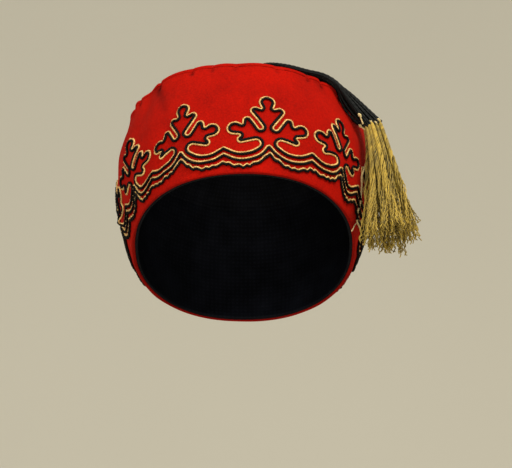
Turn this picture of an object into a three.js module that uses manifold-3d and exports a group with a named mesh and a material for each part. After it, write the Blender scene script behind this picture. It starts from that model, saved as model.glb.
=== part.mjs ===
// A soft round smoking cap: a tall felt side band and a domed felt crown over a dark lining, three lines of
// couched twin braid round the band, and a two-colour tassel. The tassel's black skein starts at the crown
// button, lies over the crown and hangs over its seam, and its gold threads hang down beside the band.
// Millimetres. +Z is up, -Y is the front, and the origin is the middle of the rim's opening. A turn is an
// angle about Z from the front towards +X, in degrees in the tables and in radians in the functions. A level
// is a share of the band's height, from the rim at 0 to the crown seam at 1.
import * as THREE from 'three';
import Module from 'manifold-3d';
import { mergeVertices } from 'three/addons/utils/BufferGeometryUtils.js';

const wasm = await Module();
wasm.setup();

// Felt shell
const rimHalfWidth = 76;
const rimHalfLength = 98.5;
const widestHalfWidth = 87;
const widestHalfLength = 100;
const seamHalfWidth = 82;
const seamHalfLength = 91;
const bandHeight = 88;
const widestLevel = 0.47;
const planSquareness = 2.2;
const crownRise = 35;
const feltWall = 2.2;
const liningWall = 1;
const clearance = 0.3;

// Gathers along the crown seam
const gatherCount = 28;
const gatherDepth = 1.5;
const gatherReach = 13;
const gatherUnevenness = 0.28;

// Couched twin braid
const motifCount = 10;
const motifTurn = 10;
const patternLevel = 0.45;
const goldCordWidth = 1.5;
const blackCordWidth = 1.8;
const braidHeight = 1.5;
const crinkleCount = 11;
const crinkleDepth = 0.7;
const looseLift = 1.8;
const looseReach = 4.5;

// Crown button, skein and tassel
const buttonRadius = 10;
const buttonHeight = 6;
const skeinWidth = 18;
const skeinThickness = 13;
const skeinStrands = 8;
const skeinGroove = 0.12;
const skeinSeat = 0.5;
const skeinSteps = 15;
const tasselTurn = 60.5;
const tasselLevel = 0.79;
const tasselHeadLength = 8;
const tasselLength = 95;
const tasselEndWidth = 38;
const tasselEndDepth = 38;
const lockCount = 12;
const lockStartRadius = 2.3;
const lockEndRadius = 4.2;
const lockWave = 1.1;

// The tassel's head round the knots, as shares of its length and of the skein's section where it ends
const tasselHead = [
  { along: 0, scale: 0.95 },
  { along: 0.45, scale: 1.05 },
  { along: 1, scale: 0.7 },
];
const lockRoot = { along: 0.45, reach: 0.62 };
const lockBend = { along: 0.3, outward: 0.1 };
const lockUnevenness = { outer: 0.07, each: 0.03, inner: 0.7, blunt: 0.55 };
const threadCore = { length: 0.9, start: 0.8, end: 0.36 };

// Soft dents in the felt: depth in felt walls, across in degrees of turn, reach in band heights
const dents = [
  { name: 'left front fold', turn: -47, level: 0.92, depth: 1.4, across: 5, reach: 0.28 },
  { name: 'right shoulder', turn: 33, level: 1, depth: 1.1, across: 11, reach: 0.2 },
  { name: 'under the skein', turn: 52, level: 1, depth: 1.2, across: 10, reach: 0.22 },
  { name: 'back left hollow', turn: -150, level: 0.85, depth: 1.1, across: 12, reach: 0.3 },
  { name: 'back right hollow', turn: 128, level: 0.9, depth: 1.2, across: 9, reach: 0.25 },
];

// Half of one leaf, from its tip to the dip between two leaves, as the circles that the gold cord bends
// round. Across, up from the rim and radius are shares of the distance from one leaf to the next. A lobe
// bends round the leaf's own side, and a notch round the ground outside it.
const leafBends = [
  { name: 'tip lobe', across: 0, up: 0.942, radius: 0.0875, bend: 'lobe' },
  { name: 'tip notch', across: 0.076, up: 0.856, radius: 0.0135, bend: 'notch' },
  { name: 'tip finger', across: 0.14, up: 0.817, radius: 0.0488, bend: 'lobe' },
  { name: 'long notch', across: 0.085, up: 0.584, radius: 0.032, bend: 'notch' },
  { name: 'upper finger', across: 0.234, up: 0.68, radius: 0.0471, bend: 'lobe' },
  { name: 'side notch', across: 0.298, up: 0.643, radius: 0.0135, bend: 'notch' },
  { name: 'side lobe', across: 0.377, up: 0.582, radius: 0.0807, bend: 'lobe' },
  { name: 'lower notch', across: 0.33, up: 0.476, radius: 0.0151, bend: 'notch' },
  { name: 'lower finger', across: 0.306, up: 0.421, radius: 0.0404, bend: 'lobe' },
  { name: 'root notch', across: 0.145, up: 0.37, radius: 0.0521, bend: 'notch' },
  { name: 'base scallop', across: 0.291, up: 0.474, radius: 0.2254, bend: 'notch' },
  { name: 'hump', across: 0.5, up: 0.294, radius: 0.0387, bend: 'lobe' },
];
const middleBends = [
  { name: 'peak', across: 0, up: 0.31, radius: 0.0336, bend: 'lobe' },
  { name: 'scallop', across: 0.286, up: 0.451, radius: 0.2826, bend: 'notch' },
  { name: 'hump', across: 0.5, up: 0.214, radius: 0.0336, bend: 'lobe' },
];
const lowerBends = [
  { name: 'peak', across: 0, up: 0.214, radius: 0.032, bend: 'lobe' },
  { name: 'scallop', across: 0.294, up: 0.386, radius: 0.3028, bend: 'notch' },
  { name: 'hump', across: 0.5, up: 0.106, radius: 0.0336, bend: 'lobe' },
];

// One side lobe of a leaf whose stitches have given way, so that its braid stands off the felt. Leaves are
// counted from the one at the front, and across and up are shares as in the bends.
const looseLobe = { leaf: -3, across: 0.38, up: 0.46 };

// The skein over the crown: share is of the way from the crown's middle to its seam, and wide and thick are
// shares of the skein's size where the gold threads join it.
const skeinOverCrown = [
  { turn: 21, share: 0.32, wide: 0.75, thick: 0.6 },
  { turn: 21, share: 0.55, wide: 0.8, thick: 0.56 },
  { turn: 28, share: 0.73, wide: 0.85, thick: 0.52 },
  { turn: 36, share: 0.84, wide: 0.9, thick: 0.48 },
  { turn: 43, share: 0.93, wide: 0.95, thick: 0.46 },
];
const skeinAtButton = { turn: 21, wide: 0.7, thick: 0.62 };
const skeinAtSeam = { turn: 50, wide: 1, thick: 0.5 };
const skeinAtTassel = { wide: 1, thick: 1 };

const fullTurn = 2 * Math.PI;
const { degToRad, radToDeg, lerp, clamp } = THREE.MathUtils;
const upwards = new THREE.Vector3(0, 0, 1);

/** Distance from the axis to the cap's rounded plan outline. */
function planRadius(turn, halfWidth, halfLength) {
  const across = Math.abs(Math.sin(turn) / halfWidth) ** planSquareness;
  const along = Math.abs(Math.cos(turn) / halfLength) ** planSquareness;
  return (across + along) ** (-1 / planSquareness);
}

/** The band's half width and half length at a level: it swells from the rim and draws in to the seam. */
function bandPlan(level) {
  const below = level < widestLevel;
  const share = below ? level / widestLevel : (level - widestLevel) / (1 - widestLevel);
  const swell = below ? Math.sin((share * Math.PI) / 2) : Math.cos((share * Math.PI) / 2);
  return [
    lerp(below ? rimHalfWidth : seamHalfWidth, widestHalfWidth, swell),
    lerp(below ? rimHalfLength : seamHalfLength, widestHalfLength, swell),
  ];
}

/** How far the soft dents press in at a place on the band, in millimetres. */
function dentDepth(turn, level) {
  let depth = 0;
  for (const dent of dents) {
    const difference = radToDeg(turn) - dent.turn;
    const across = (difference - 360 * Math.round(difference / 360)) / dent.across;
    const along = (level - dent.level) / dent.reach;
    depth += dent.depth * feltWall * Math.exp(-(across ** 2) - along ** 2);
  }
  return depth;
}

/** Turns of the stitches that gather the crown seam, unevenly spaced, from the back round to the back. */
const gatherTurns = Array.from({ length: gatherCount + 1 }, (_, i) => {
  const uneven = i % gatherCount === 0 ? 0 : gatherUnevenness * Math.sin(1.7 * i);
  return ((i + uneven) / gatherCount - 0.5) * fullTurn;
});

/** How far the felt puffs out between two gathering stitches at a turn. */
function gatherPuff(turn) {
  const wrapped = turn - fullTurn * Math.floor((turn + Math.PI) / fullTurn);
  let i = 0;
  while (i < gatherCount - 1 && gatherTurns[i + 1] <= wrapped) i += 1;
  const share = (wrapped - gatherTurns[i]) / (gatherTurns[i + 1] - gatherTurns[i]);
  const strength = 0.7 + 0.3 * Math.sin(2.4 * i);
  return gatherDepth * strength * Math.sin(Math.PI * clamp(share, 0, 1));
}

/** Turns of the mesh columns, so that each gathering stitch falls on a column. */
function columnTurns(perGather) {
  return Array.from({ length: gatherCount * perGather }, (_, i) => {
    const gather = Math.floor(i / perGather);
    return lerp(gatherTurns[gather], gatherTurns[gather + 1], (i % perGather) / perGather);
  });
}
const shellTurns = columnTurns(2);

function around(turn, radius, z) {
  return new THREE.Vector3(radius * Math.sin(turn), -radius * Math.cos(turn), z);
}

/** A point of the side wall, inset from the band's outer face. */
function wallPoint(turn, level, inset = 0, puffed = true) {
  const nearSeam = Math.max(0, 1 - ((1 - level) * bandHeight) / gatherReach);
  const puff = puffed ? gatherPuff(turn) * nearSeam : 0;
  const radius = planRadius(turn, ...bandPlan(level)) - dentDepth(turn, level) + puff - inset;
  return around(turn, radius, level * bandHeight);
}

/** How near a place on the crown is to the seam, from 1 on it to 0 where the gathers have smoothed out. */
function seamNearness(share) {
  return Math.max(0, 1 - ((1 - share) * seamHalfWidth) / gatherReach);
}

/** A point on the crown's dome, above its underside by lift. */
function crownPoint(turn, share, lift = 0, puffed = true) {
  const edge = planRadius(turn, seamHalfWidth, seamHalfLength) - dentDepth(turn, 1);
  const puff = puffed ? gatherPuff(turn) * seamNearness(share) : 0;
  const z = bandHeight + clearance + crownRise * (1 - share ** 2) + lift
    + puff * (1 - seamNearness(share));
  return around(turn, edge * share + puff, z);
}

/** A solid skinned over rows of points. Each row closes on itself, and so does the run of rows where it is
 *  looped; otherwise each end is closed by a fan round its middle. */
function skinned(rows, looped = false) {
  const count = rows[0].length;
  const points = rows.flat();
  const triangles = [];
  const bands = looped ? rows.length : rows.length - 1;
  for (let j = 0; j < bands; j += 1) {
    const lower = j * count;
    const upper = ((j + 1) % rows.length) * count;
    for (let i = 0; i < count; i += 1) {
      const next = (i + 1) % count;
      triangles.push([lower + i, lower + next, upper + next], [lower + i, upper + next, upper + i]);
    }
  }
  const ends = looped ? [] : [0, rows.length - 1];
  for (const j of ends) {
    const middle = rows[j].reduce((sum, point) => sum.add(point), new THREE.Vector3());
    const centre = points.push(middle.divideScalar(count)) - 1;
    for (let i = 0; i < count; i += 1) {
      const edge = [j * count + i, j * count + ((i + 1) % count)];
      triangles.push(j === 0 ? [centre, edge[1], edge[0]] : [centre, edge[0], edge[1]]);
    }
  }
  let volume = 0;
  for (const [a, b, c] of triangles) {
    volume += points[a].dot(new THREE.Vector3().crossVectors(points[b], points[c]));
  }
  const outward = volume < 0 ? triangles.map(([a, b, c]) => [a, c, b]) : triangles;
  const geometry = new THREE.BufferGeometry().setFromPoints(points);
  geometry.setIndex(outward.flat());
  return geometry;
}

function toManifold(geometry) {
  const merged = mergeVertices(geometry);
  return new wasm.Manifold(new wasm.Mesh({
    numProp: 3,
    vertProperties: new Float32Array(merged.getAttribute('position').array),
    triVerts: new Uint32Array(merged.getIndex().array),
  }));
}

/** One solid out of several that overlap, such as a tassel's locks and its head. */
function fused(geometries) {
  const whole = geometries.map(toManifold).reduce((sum, solid) => sum.add(solid));
  const shortestEdge = 0.05;
  const { vertProperties, triVerts } = whole.simplify(shortestEdge).getMesh();
  const geometry = new THREE.BufferGeometry();
  geometry.setAttribute('position', new THREE.BufferAttribute(new Float32Array(vertProperties), 3));
  geometry.setIndex(new THREE.BufferAttribute(new Uint32Array(triVerts), 1));
  return geometry;
}

/** Rows that the felt's inner faces and the lining share, so that the gap between them is even. */
const innerLevels = [0, 0.2, 0.46, 0.75, 1];
const roofShares = [0.85, 0.5, 0.12];

function sideBand() {
  const outerLevels = [0, 0.1, 0.22, 0.36, 0.54, 0.72, 0.87, 1];
  const outer = outerLevels.map((level) => shellTurns.map((turn) => wallPoint(turn, level)));
  const inner = innerLevels.map((level) => shellTurns.map((turn) => {
    return wallPoint(turn, level, feltWall, false);
  }));
  return skinned([...outer, ...inner.reverse()], true);
}

function crownTop() {
  const topShares = [0.12, 0.36, 0.6, 0.82, 0.94, 1];
  const top = topShares.map((share) => shellTurns.map((turn) => crownPoint(turn, share, feltWall)));
  const under = [1, ...roofShares].map((share) => shellTurns.map((turn) => {
    return crownPoint(turn, share, 0, false);
  }));
  return skinned([...top, ...under]);
}

/** The lining follows the felt's inside a clearance away, up the wall and over under the crown. */
function lining() {
  const skin = (away) => [
    ...innerLevels.map((level) => shellTurns.map((turn) => wallPoint(turn, level, feltWall + away, false))),
    ...roofShares.map((share) => shellTurns.map((turn) => crownPoint(turn, share, -away, false))),
  ];
  return skinned([...skin(clearance).reverse(), ...skin(clearance + liningWall)]);
}

/** Lengths round the band at the pattern's level, from the front, by equal steps of turn. */
const measureSteps = 720;
const lengthTable = [0];
for (let i = 1; i <= measureSteps; i += 1) {
  const [from, to] = [i - 1, i].map((step) => {
    const turn = (step / measureSteps) * fullTurn;
    return around(turn, planRadius(turn, ...bandPlan(patternLevel)), 0);
  });
  lengthTable.push(lengthTable[i - 1] + from.distanceTo(to));
}
const bandLength = lengthTable[measureSteps];
const motifPitch = bandLength / motifCount;

/** The turn at a length round the band from the front. */
function turnAtLength(length) {
  const laps = Math.floor(length / bandLength);
  const rest = length - laps * bandLength;
  let i = 0;
  while (i < measureSteps - 1 && lengthTable[i + 1] < rest) i += 1;
  const share = (rest - lengthTable[i]) / (lengthTable[i + 1] - lengthTable[i]);
  return ((i + share) / measureSteps + laps) * fullTurn;
}
const firstMotifAt = lengthTable[Math.round((motifTurn / 360) * measureSteps)];

/** The gold cord's line over one motif on the flattened band, from one hump to the next: arcs round the
 *  bends, joined by their common tangents. Each point holds its heading and its bend's signed radius. */
function bendLine(halfBends) {
  const mirrored = halfBends.slice(1).reverse().map((bend) => ({ ...bend, across: -bend.across }));
  const circles = [...mirrored, ...halfBends].map((bend) => ({
    centre: new THREE.Vector2(bend.across, bend.up).multiplyScalar(motifPitch),
    signed: bend.radius * motifPitch * (bend.bend === 'lobe' ? -1 : 1),
  }));
  const headings = circles.slice(1).map((circle, i) => {
    const step = circle.centre.clone().sub(circles[i].centre);
    return step.angle() - Math.asin(clamp((circle.signed - circles[i].signed) / step.length(), -1, 1));
  });
  const coarseness = 1;
  const longestStep = 8;
  const shortestStep = 0.8 * goldCordWidth;
  const sharpestTurn = degToRad(112);
  const line = [];
  circles.slice(0, -1).forEach(({ centre, signed }, i) => {
    const arriving = i === 0 ? 0 : headings[i - 1];
    const turns = (headings[i] - arriving) / fullTurn;
    const sweep = (turns - (signed > 0 ? Math.floor(turns) : Math.ceil(turns))) * fullTurn;
    const radius = Math.abs(signed);
    const byCoarseness = 2 * Math.acos(Math.max(0, 1 - coarseness / radius));
    const widest = Math.min(byCoarseness, longestStep / radius, sharpestTurn);
    const pieces = Math.max(1, Math.round(Math.abs(sweep) / widest));
    for (let k = 0; k <= pieces; k += 1) {
      const heading = arriving + (sweep * k) / pieces;
      const at = centre.clone().add(new THREE.Vector2(Math.sin(heading), -Math.cos(heading))
        .multiplyScalar(signed));
      const last = line.at(-1);
      if (!last || last.at.distanceTo(at) > shortestStep) line.push({ at, heading, signed });
    }
  });
  return line;
}

/** The same line with points at even steps, which swing to either side by turns, as pulled-up stitches
 *  leave a cord. */
function crinkled(line, count) {
  const ends = [...line, { ...line[0], at: line[0].at.clone().add(new THREE.Vector2(motifPitch, 0)) }];
  const lengths = [0];
  for (let i = 1; i < ends.length; i += 1) {
    lengths.push(lengths[i - 1] + ends[i].at.distanceTo(ends[i - 1].at));
  }
  return Array.from({ length: count }, (_, k) => {
    const wanted = (k / count) * lengths.at(-1);
    let i = 0;
    while (lengths[i + 1] < wanted) i += 1;
    const step = ends[i + 1].at.clone().sub(ends[i].at);
    const at = ends[i].at.clone().addScaledVector(step, (wanted - lengths[i]) / step.length());
    const heading = step.angle();
    const swing = (k % 2 === 0 ? 0.5 : -0.5) * crinkleDepth;
    at.addScaledVector(new THREE.Vector2(-Math.sin(heading), Math.cos(heading)), swing);
    return { at, heading, signed: motifPitch };
  });
}

/** Where a point of the flattened pattern lies on the band, lifted off the felt. */
function onBand(across, up, lift) {
  const turn = turnAtLength(across);
  const level = up / bandHeight;
  const nudge = 0.01;
  const here = wallPoint(turn, level);
  const alongTurn = wallPoint(turn + nudge, level).sub(here);
  const alongLevel = wallPoint(turn, level + nudge).sub(here);
  const outward = new THREE.Vector3().crossVectors(alongTurn, alongLevel).normalize();
  return here.addScaledVector(outward, lift);
}

/** How far the braid stands off the felt at a place of the flattened pattern. */
function standOff(across, up) {
  const centre = firstMotifAt + (looseLobe.leaf + looseLobe.across) * motifPitch;
  const difference = across - centre;
  const apart = difference - bandLength * Math.round(difference / bandLength);
  const away = Math.hypot(apart, up - looseLobe.up * motifPitch) / looseReach;
  return clearance + looseLift * Math.exp(-(away ** 2));
}

/** A twin braid round the whole band: a flat-bottomed ridge over a gold and a black cord side by side. */
function twinBraid(line) {
  const goldReach = goldCordWidth / 2;
  const blackReach = goldReach + blackCordWidth;
  const bendShare = 0.92;
  const rows = [];
  for (let motif = 0; motif < motifCount; motif += 1) {
    const start = firstMotifAt + motif * motifPitch;
    for (const { at, heading, signed } of line) {
      const left = new THREE.Vector2(-Math.sin(heading), Math.cos(heading));
      const room = Math.abs(signed) * bendShare;
      const goldSide = signed > 0 ? Math.min(goldReach, room) : goldReach;
      const blackSide = signed < 0 ? Math.min(blackReach, room) : blackReach;
      const off = standOff(start + at.x, at.y);
      const section = [[goldSide, off], [(goldSide - blackSide) / 2, off + braidHeight], [-blackSide, off]];
      rows.push(section.map(([aside, lift]) => {
        const flat = at.clone().addScaledVector(left, aside);
        return onBand(start + flat.x, flat.y, lift);
      }));
    }
  }
  return skinned(rows, true);
}

/** A frame on the crown: its outer face's point, and the direction straight off the felt. */
function crownSeat(turn, share) {
  const nudge = 0.01;
  const at = crownPoint(turn, share, feltWall, false);
  const alongTurn = crownPoint(turn + nudge, share, feltWall, false).sub(at);
  const alongShare = crownPoint(turn, share - nudge, feltWall, false).sub(at);
  return { at, off: new THREE.Vector3().crossVectors(alongTurn, alongShare).normalize() };
}

function crownButton() {
  const sides = 16;
  const seat = crownPoint(0, roofShares.at(-1), feltWall + clearance).z;
  const profile = [
    { share: 1, rise: 0 },
    { share: 1, rise: 0.35 },
    { share: 0.75, rise: 0.85 },
    { share: 0.3, rise: 1 },
  ];
  const rows = profile.map(({ share, rise }) => Array.from({ length: sides }, (_, i) => {
    return around((i / sides) * fullTurn, share * buttonRadius, seat + rise * buttonHeight);
  }));
  return skinned(rows);
}

/** The tassel hangs straight down just outside the widest part of the band and the braid on it. */
const tasselTurnRadians = degToRad(tasselTurn);
const outwards = around(tasselTurnRadians, 1, 0);
const sidewards = new THREE.Vector3(Math.cos(tasselTurnRadians), Math.sin(tasselTurnRadians), 0);
const hangRadius = planRadius(tasselTurnRadians, widestHalfWidth, widestHalfLength)
  + braidHeight + 2 * clearance;
const tasselTop = around(tasselTurnRadians, hangRadius + skeinThickness / 2, tasselLevel * bandHeight);

/** The skein's middle line from the button to the tassel's head, and its size along the way. */
function skeinStations() {
  const startTurn = degToRad(skeinAtButton.turn);
  const startShare = (buttonRadius + 3 * clearance) / planRadius(startTurn, seamHalfWidth, seamHalfLength);
  const onCrown = [{ ...skeinAtButton, share: startShare }, ...skeinOverCrown].map((station) => {
    const { turn, share, wide, thick } = station;
    const { at, off } = crownSeat(degToRad(turn), share);
    const overGathers = gatherDepth * seamNearness(share);
    at.addScaledVector(off, skeinSeat + overGathers + (thick * skeinThickness) / 2);
    return { at, off, wide, thick };
  });
  const edge = crownPoint(degToRad(skeinAtSeam.turn), 1, feltWall);
  const off = around(degToRad(skeinAtSeam.turn), 1, 0).add(upwards).normalize();
  const atSeam = edge.addScaledVector(off, skeinSeat + (skeinAtSeam.thick * skeinThickness) / 2);
  return [
    ...onCrown,
    { at: atSeam, off, wide: skeinAtSeam.wide, thick: skeinAtSeam.thick },
    { at: tasselTop, off: outwards, wide: skeinAtTassel.wide, thick: skeinAtTassel.thick },
  ];
}

/** Oval sections along the skein: each has its middle, its two directions across and its size. */
function skeinSections() {
  const stations = skeinStations();
  const curve = new THREE.CatmullRomCurve3(stations.map((station) => station.at), false, 'centripetal');
  return Array.from({ length: skeinSteps + 1 }, (_, k) => {
    const share = k / skeinSteps;
    const place = share * (stations.length - 1);
    const i = Math.min(Math.floor(place), stations.length - 2);
    const along = curve.getTangent(share);
    const off = stations[i].off.clone().lerp(stations[i + 1].off, place - i);
    const side = new THREE.Vector3().crossVectors(along, off).normalize();
    return {
      at: curve.getPoint(share),
      along,
      side,
      off: new THREE.Vector3().crossVectors(side, along),
      halfWidth: (lerp(stations[i].wide, stations[i + 1].wide, place - i) * skeinWidth) / 2,
      halfThickness: (lerp(stations[i].thick, stations[i + 1].thick, place - i) * skeinThickness) / 2,
    };
  });
}

/** One closed row of points round a section, drawn in between the strands by the groove's share. */
function sectionRow({ at, side, off, halfWidth, halfThickness }, sides, groove = 0, scale = 1) {
  return Array.from({ length: sides }, (_, i) => {
    const angle = (i / sides) * fullTurn;
    const reach = scale * (i % 2 === 0 ? 1 : 1 - groove);
    return at.clone()
      .addScaledVector(side, reach * halfWidth * Math.cos(angle))
      .addScaledVector(off, reach * halfThickness * Math.sin(angle));
  });
}

function tasselSkein() {
  const sections = skeinSections();
  const end = sections.at(-1);
  end.at = end.at.clone().addScaledVector(end.along, -clearance);
  return skinned(sections.map((section) => sectionRow(section, 2 * skeinStrands, skeinGroove)));
}

/** A stretch of the tassel along a curve, from one section to another. Each section gives its half width,
 *  its half thickness and the direction of its thickness. */
function tasselStretch(curve, sides, rings, from, to, phase) {
  const rows = Array.from({ length: rings }, (_, k) => {
    const share = k / (rings - 1);
    const blunt = k === rings - 1 ? lockUnevenness.blunt : 1;
    const swing = lockWave * share * Math.sin(phase + 2.2 * k);
    return sectionRow({
      at: curve.getPoint(share).addScaledVector(sidewards, swing),
      side: sidewards,
      off: from.off.clone().lerp(to.off, share).normalize(),
      halfWidth: lerp(from.halfWidth, to.halfWidth, share) * blunt,
      halfThickness: lerp(from.halfThickness, to.halfThickness, share) * blunt,
    }, sides);
  });
  return skinned(rows);
}

/** The middle line of one lock, from the knots at its root to its end, where sideShare and outShare place it
 *  across the tassel's width and depth from -1 to 1. */
function lockCurve(joint, sideShare, outShare, length) {
  const spread = tasselEndDepth - 2 * lockEndRadius;
  const root = joint.at.clone()
    .addScaledVector(joint.along, tasselHeadLength * lockRoot.along)
    .addScaledVector(joint.side, -sideShare * joint.halfWidth * lockRoot.reach)
    .addScaledVector(joint.off, outShare * joint.halfThickness * lockRoot.reach);
  const endRadius = hangRadius + lockEndRadius + ((1 + outShare) / 2) * spread;
  const end = around(tasselTurnRadians, endRadius, tasselTop.z - length)
    .addScaledVector(sidewards, sideShare * (tasselEndWidth / 2 - lockEndRadius));
  const bend = root.clone().lerp(end, lockBend.along)
    .addScaledVector(outwards, lockBend.outward * spread);
  return new THREE.QuadraticBezierCurve3(root, bend, end);
}

/** The tassel's head round the knots, a core of threads, and the locks that stand out round the core. */
function tassel() {
  const joint = skeinSections().at(-1);
  const head = skinned(tasselHead.map(({ along, scale }) => {
    const at = joint.at.clone().addScaledVector(joint.along, along * tasselHeadLength);
    return sectionRow({ ...joint, at }, 12, 0, scale);
  }));
  const goldenAngle = fullTurn * 0.381966;
  const lockStart = { halfWidth: lockStartRadius, halfThickness: lockStartRadius, off: joint.off };
  const lockEnd = { halfWidth: lockEndRadius, halfThickness: lockEndRadius, off: outwards };
  const locks = Array.from({ length: lockCount }, (_, i) => {
    const fromMiddle = i % 3 === 0 ? lockUnevenness.inner : 1;
    const sideShare = fromMiddle * Math.cos(i * goldenAngle);
    const outShare = fromMiddle * Math.sin(i * goldenAngle);
    const shorter = lockUnevenness.outer * Math.max(0, outShare) - lockUnevenness.each * Math.sin(3.1 * i);
    const curve = lockCurve(joint, sideShare, outShare, tasselLength * (1 - shorter));
    return tasselStretch(curve, 5, 6, lockStart, lockEnd, i);
  });
  const coreStart = {
    halfWidth: threadCore.start * joint.halfWidth,
    halfThickness: threadCore.start * joint.halfThickness,
    off: joint.off,
  };
  const coreEnd = {
    halfWidth: threadCore.end * tasselEndWidth,
    halfThickness: threadCore.end * tasselEndDepth,
    off: outwards,
  };
  const coreCurve = lockCurve(joint, 0, 0, threadCore.length * tasselLength);
  const core = tasselStretch(coreCurve, 9, 5, coreStart, coreEnd, 0);
  return fused([head, core, ...locks]);
}

function material(color, roughness, metalness = 0) {
  return new THREE.MeshStandardMaterial({ color, roughness, metalness });
}

const redFelt = material('#ad1206', 0.95);
const darkLining = material('#0c0f15', 0.9);
const braidCords = material('#8a6a34', 0.6);
const blackSilk = material('#191b19', 0.55);
const goldThread = material('#927824', 0.6);

const cap = new THREE.Group();
cap.name = 'smoking_cap';
const pieces = [
  ['side_band', sideBand(), redFelt],
  ['crown_top', crownTop(), redFelt],
  ['lining', lining(), darkLining],
  ['leaf_braid', twinBraid(bendLine(leafBends)), braidCords],
  ['middle_braid', twinBraid(bendLine(middleBends)), braidCords],
  ['lower_braid', twinBraid(crinkled(bendLine(lowerBends), 2 * crinkleCount)), braidCords],
  ['crown_button', crownButton(), blackSilk],
  ['tassel_skein', tasselSkein(), blackSilk],
  ['tassel', tassel(), goldThread],
];
for (const [name, geometry, finish] of pieces) {
  const mesh = new THREE.Mesh(geometry, finish);
  mesh.name = name;
  cap.add(mesh);
}

export default cap;
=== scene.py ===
"""The looks of a soft felt smoking cap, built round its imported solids.

The felt, the lining, the couched cords, the silk skein and the gold tassel are made as meshes that stand
for the plain solids of the frame. Lengths in the classes are millimetres, and a mesh is made in metres. A
turn is an angle about Z from the front, which faces -Y, towards +X. A level is a share of the band's height,
from the rim at 0 to the crown seam at 1. A share on the crown runs from its middle at 0 to the seam at 1.
"""

import logging
import math
from dataclasses import dataclass, replace
from enum import Enum
from functools import cached_property

import bpy
import numpy as np
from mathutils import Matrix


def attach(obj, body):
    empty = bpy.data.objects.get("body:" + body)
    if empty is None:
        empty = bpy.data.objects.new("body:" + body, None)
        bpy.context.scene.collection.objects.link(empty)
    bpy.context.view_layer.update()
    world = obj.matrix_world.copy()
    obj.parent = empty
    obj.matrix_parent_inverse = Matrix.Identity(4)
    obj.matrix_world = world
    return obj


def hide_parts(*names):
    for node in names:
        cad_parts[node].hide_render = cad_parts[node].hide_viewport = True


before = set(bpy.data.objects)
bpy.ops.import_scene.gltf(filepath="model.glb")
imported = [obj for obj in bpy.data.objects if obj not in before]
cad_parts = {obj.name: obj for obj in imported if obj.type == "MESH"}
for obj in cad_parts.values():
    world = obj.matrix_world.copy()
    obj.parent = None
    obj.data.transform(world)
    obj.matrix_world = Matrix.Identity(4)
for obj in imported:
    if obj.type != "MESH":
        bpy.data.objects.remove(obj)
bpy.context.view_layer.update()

LOG = logging.getLogger("smoking_cap")
MM = 0.001
FULL_TURN = 2 * math.pi
DEGREES_ROUND = 360
# The middle of a noise, which runs from 0 to 1.
MIDDLE = 0.5
# A small step that slopes are measured over, in radians, levels or shares.
NUDGE = 0.01
# What keeps a direction from having no length.
TINY = 1e-6
# The levels and the crown's shares that rows on a plain inner face follow.
INNER_LEVELS = (1.0, 0.75, 0.46, 0.2, 0.0)
INNER_SHARES = (0.85, 0.5)
# How strong each finer noise is beside the coarser one.
NOISE_ROUGHNESS = 0.6
# How many bands a wave texture lays over one unit at a scale of one.
BANDS_PER_UNIT = 20
ROOT = "root"
Colour = tuple[float, float, float, float]
Points = np.ndarray


class Slot(Enum):
    """The material slots."""

    FELT = "red_felt"
    LINING = "dark_lining"
    GOLD_CORD = "gold_cord"
    BLACK_SILK = "black_silk"
    GOLD_THREAD = "gold_thread"


def colour(red: float, green: float, blue: float) -> Colour:
    """A colour as a paint chart gives it, from 0 to 255, as the linear light that a shader wants.

    Args:
        red: The chart's red.
        green: The chart's green.
        blue: The chart's blue.

    Returns:
        Red, green, blue and a full alpha.
    """
    linear = [((part / 255 + 0.055) / 1.055) ** 2.4 if part > 10 else part / 255 / 12.92
              for part in (red, green, blue)]
    return (linear[0], linear[1], linear[2], 1.0)


def unit(vectors: Points) -> Points:
    """The same vectors with a length of one."""
    return vectors / np.linalg.norm(vectors, axis=-1, keepdims=True)


def mix(start: float, end: float, share: Points) -> Points:
    """The value at a share of the way from start to end."""
    return start + (end - start) * share


class Value:
    """A socket of a node tree that Python's arithmetic works on. Each operation adds its Math node."""

    def __init__(self, tree: "NodeTree", socket: bpy.types.NodeSocket) -> None:
        """Wraps an output socket.

        Args:
            tree: The tree that the socket's node is in.
            socket: The output socket.
        """
        self.tree = tree
        self.socket = socket

    def _math(self, operation: str, first: "Value | float", second: "Value | float") -> "Value":
        """Adds a Math node.

        Args:
            operation: The node's operation.
            first: Its first value.
            second: Its second value.

        Returns:
            The node's result.
        """
        return self.tree.node("ShaderNodeMath", {"operation": operation}, {0: first, 1: second})

    def __add__(self, other: "Value | float") -> "Value":
        """This plus other."""
        return self._math("ADD", self, other)

    __radd__ = __add__

    def __sub__(self, other: "Value | float") -> "Value":
        """This less other."""
        return self._math("SUBTRACT", self, other)

    def __rsub__(self, other: float) -> "Value":
        """Other less this."""
        return self._math("SUBTRACT", other, self)

    def __mul__(self, other: "Value | float") -> "Value":
        """This times other."""
        return self._math("MULTIPLY", self, other)

    __rmul__ = __mul__

    def __truediv__(self, other: "Value | float") -> "Value":
        """This divided by other."""
        return self._math("DIVIDE", self, other)

    def __pow__(self, other: float) -> "Value":
        """This to the power of other."""
        return self._math("POWER", self, other)


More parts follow.
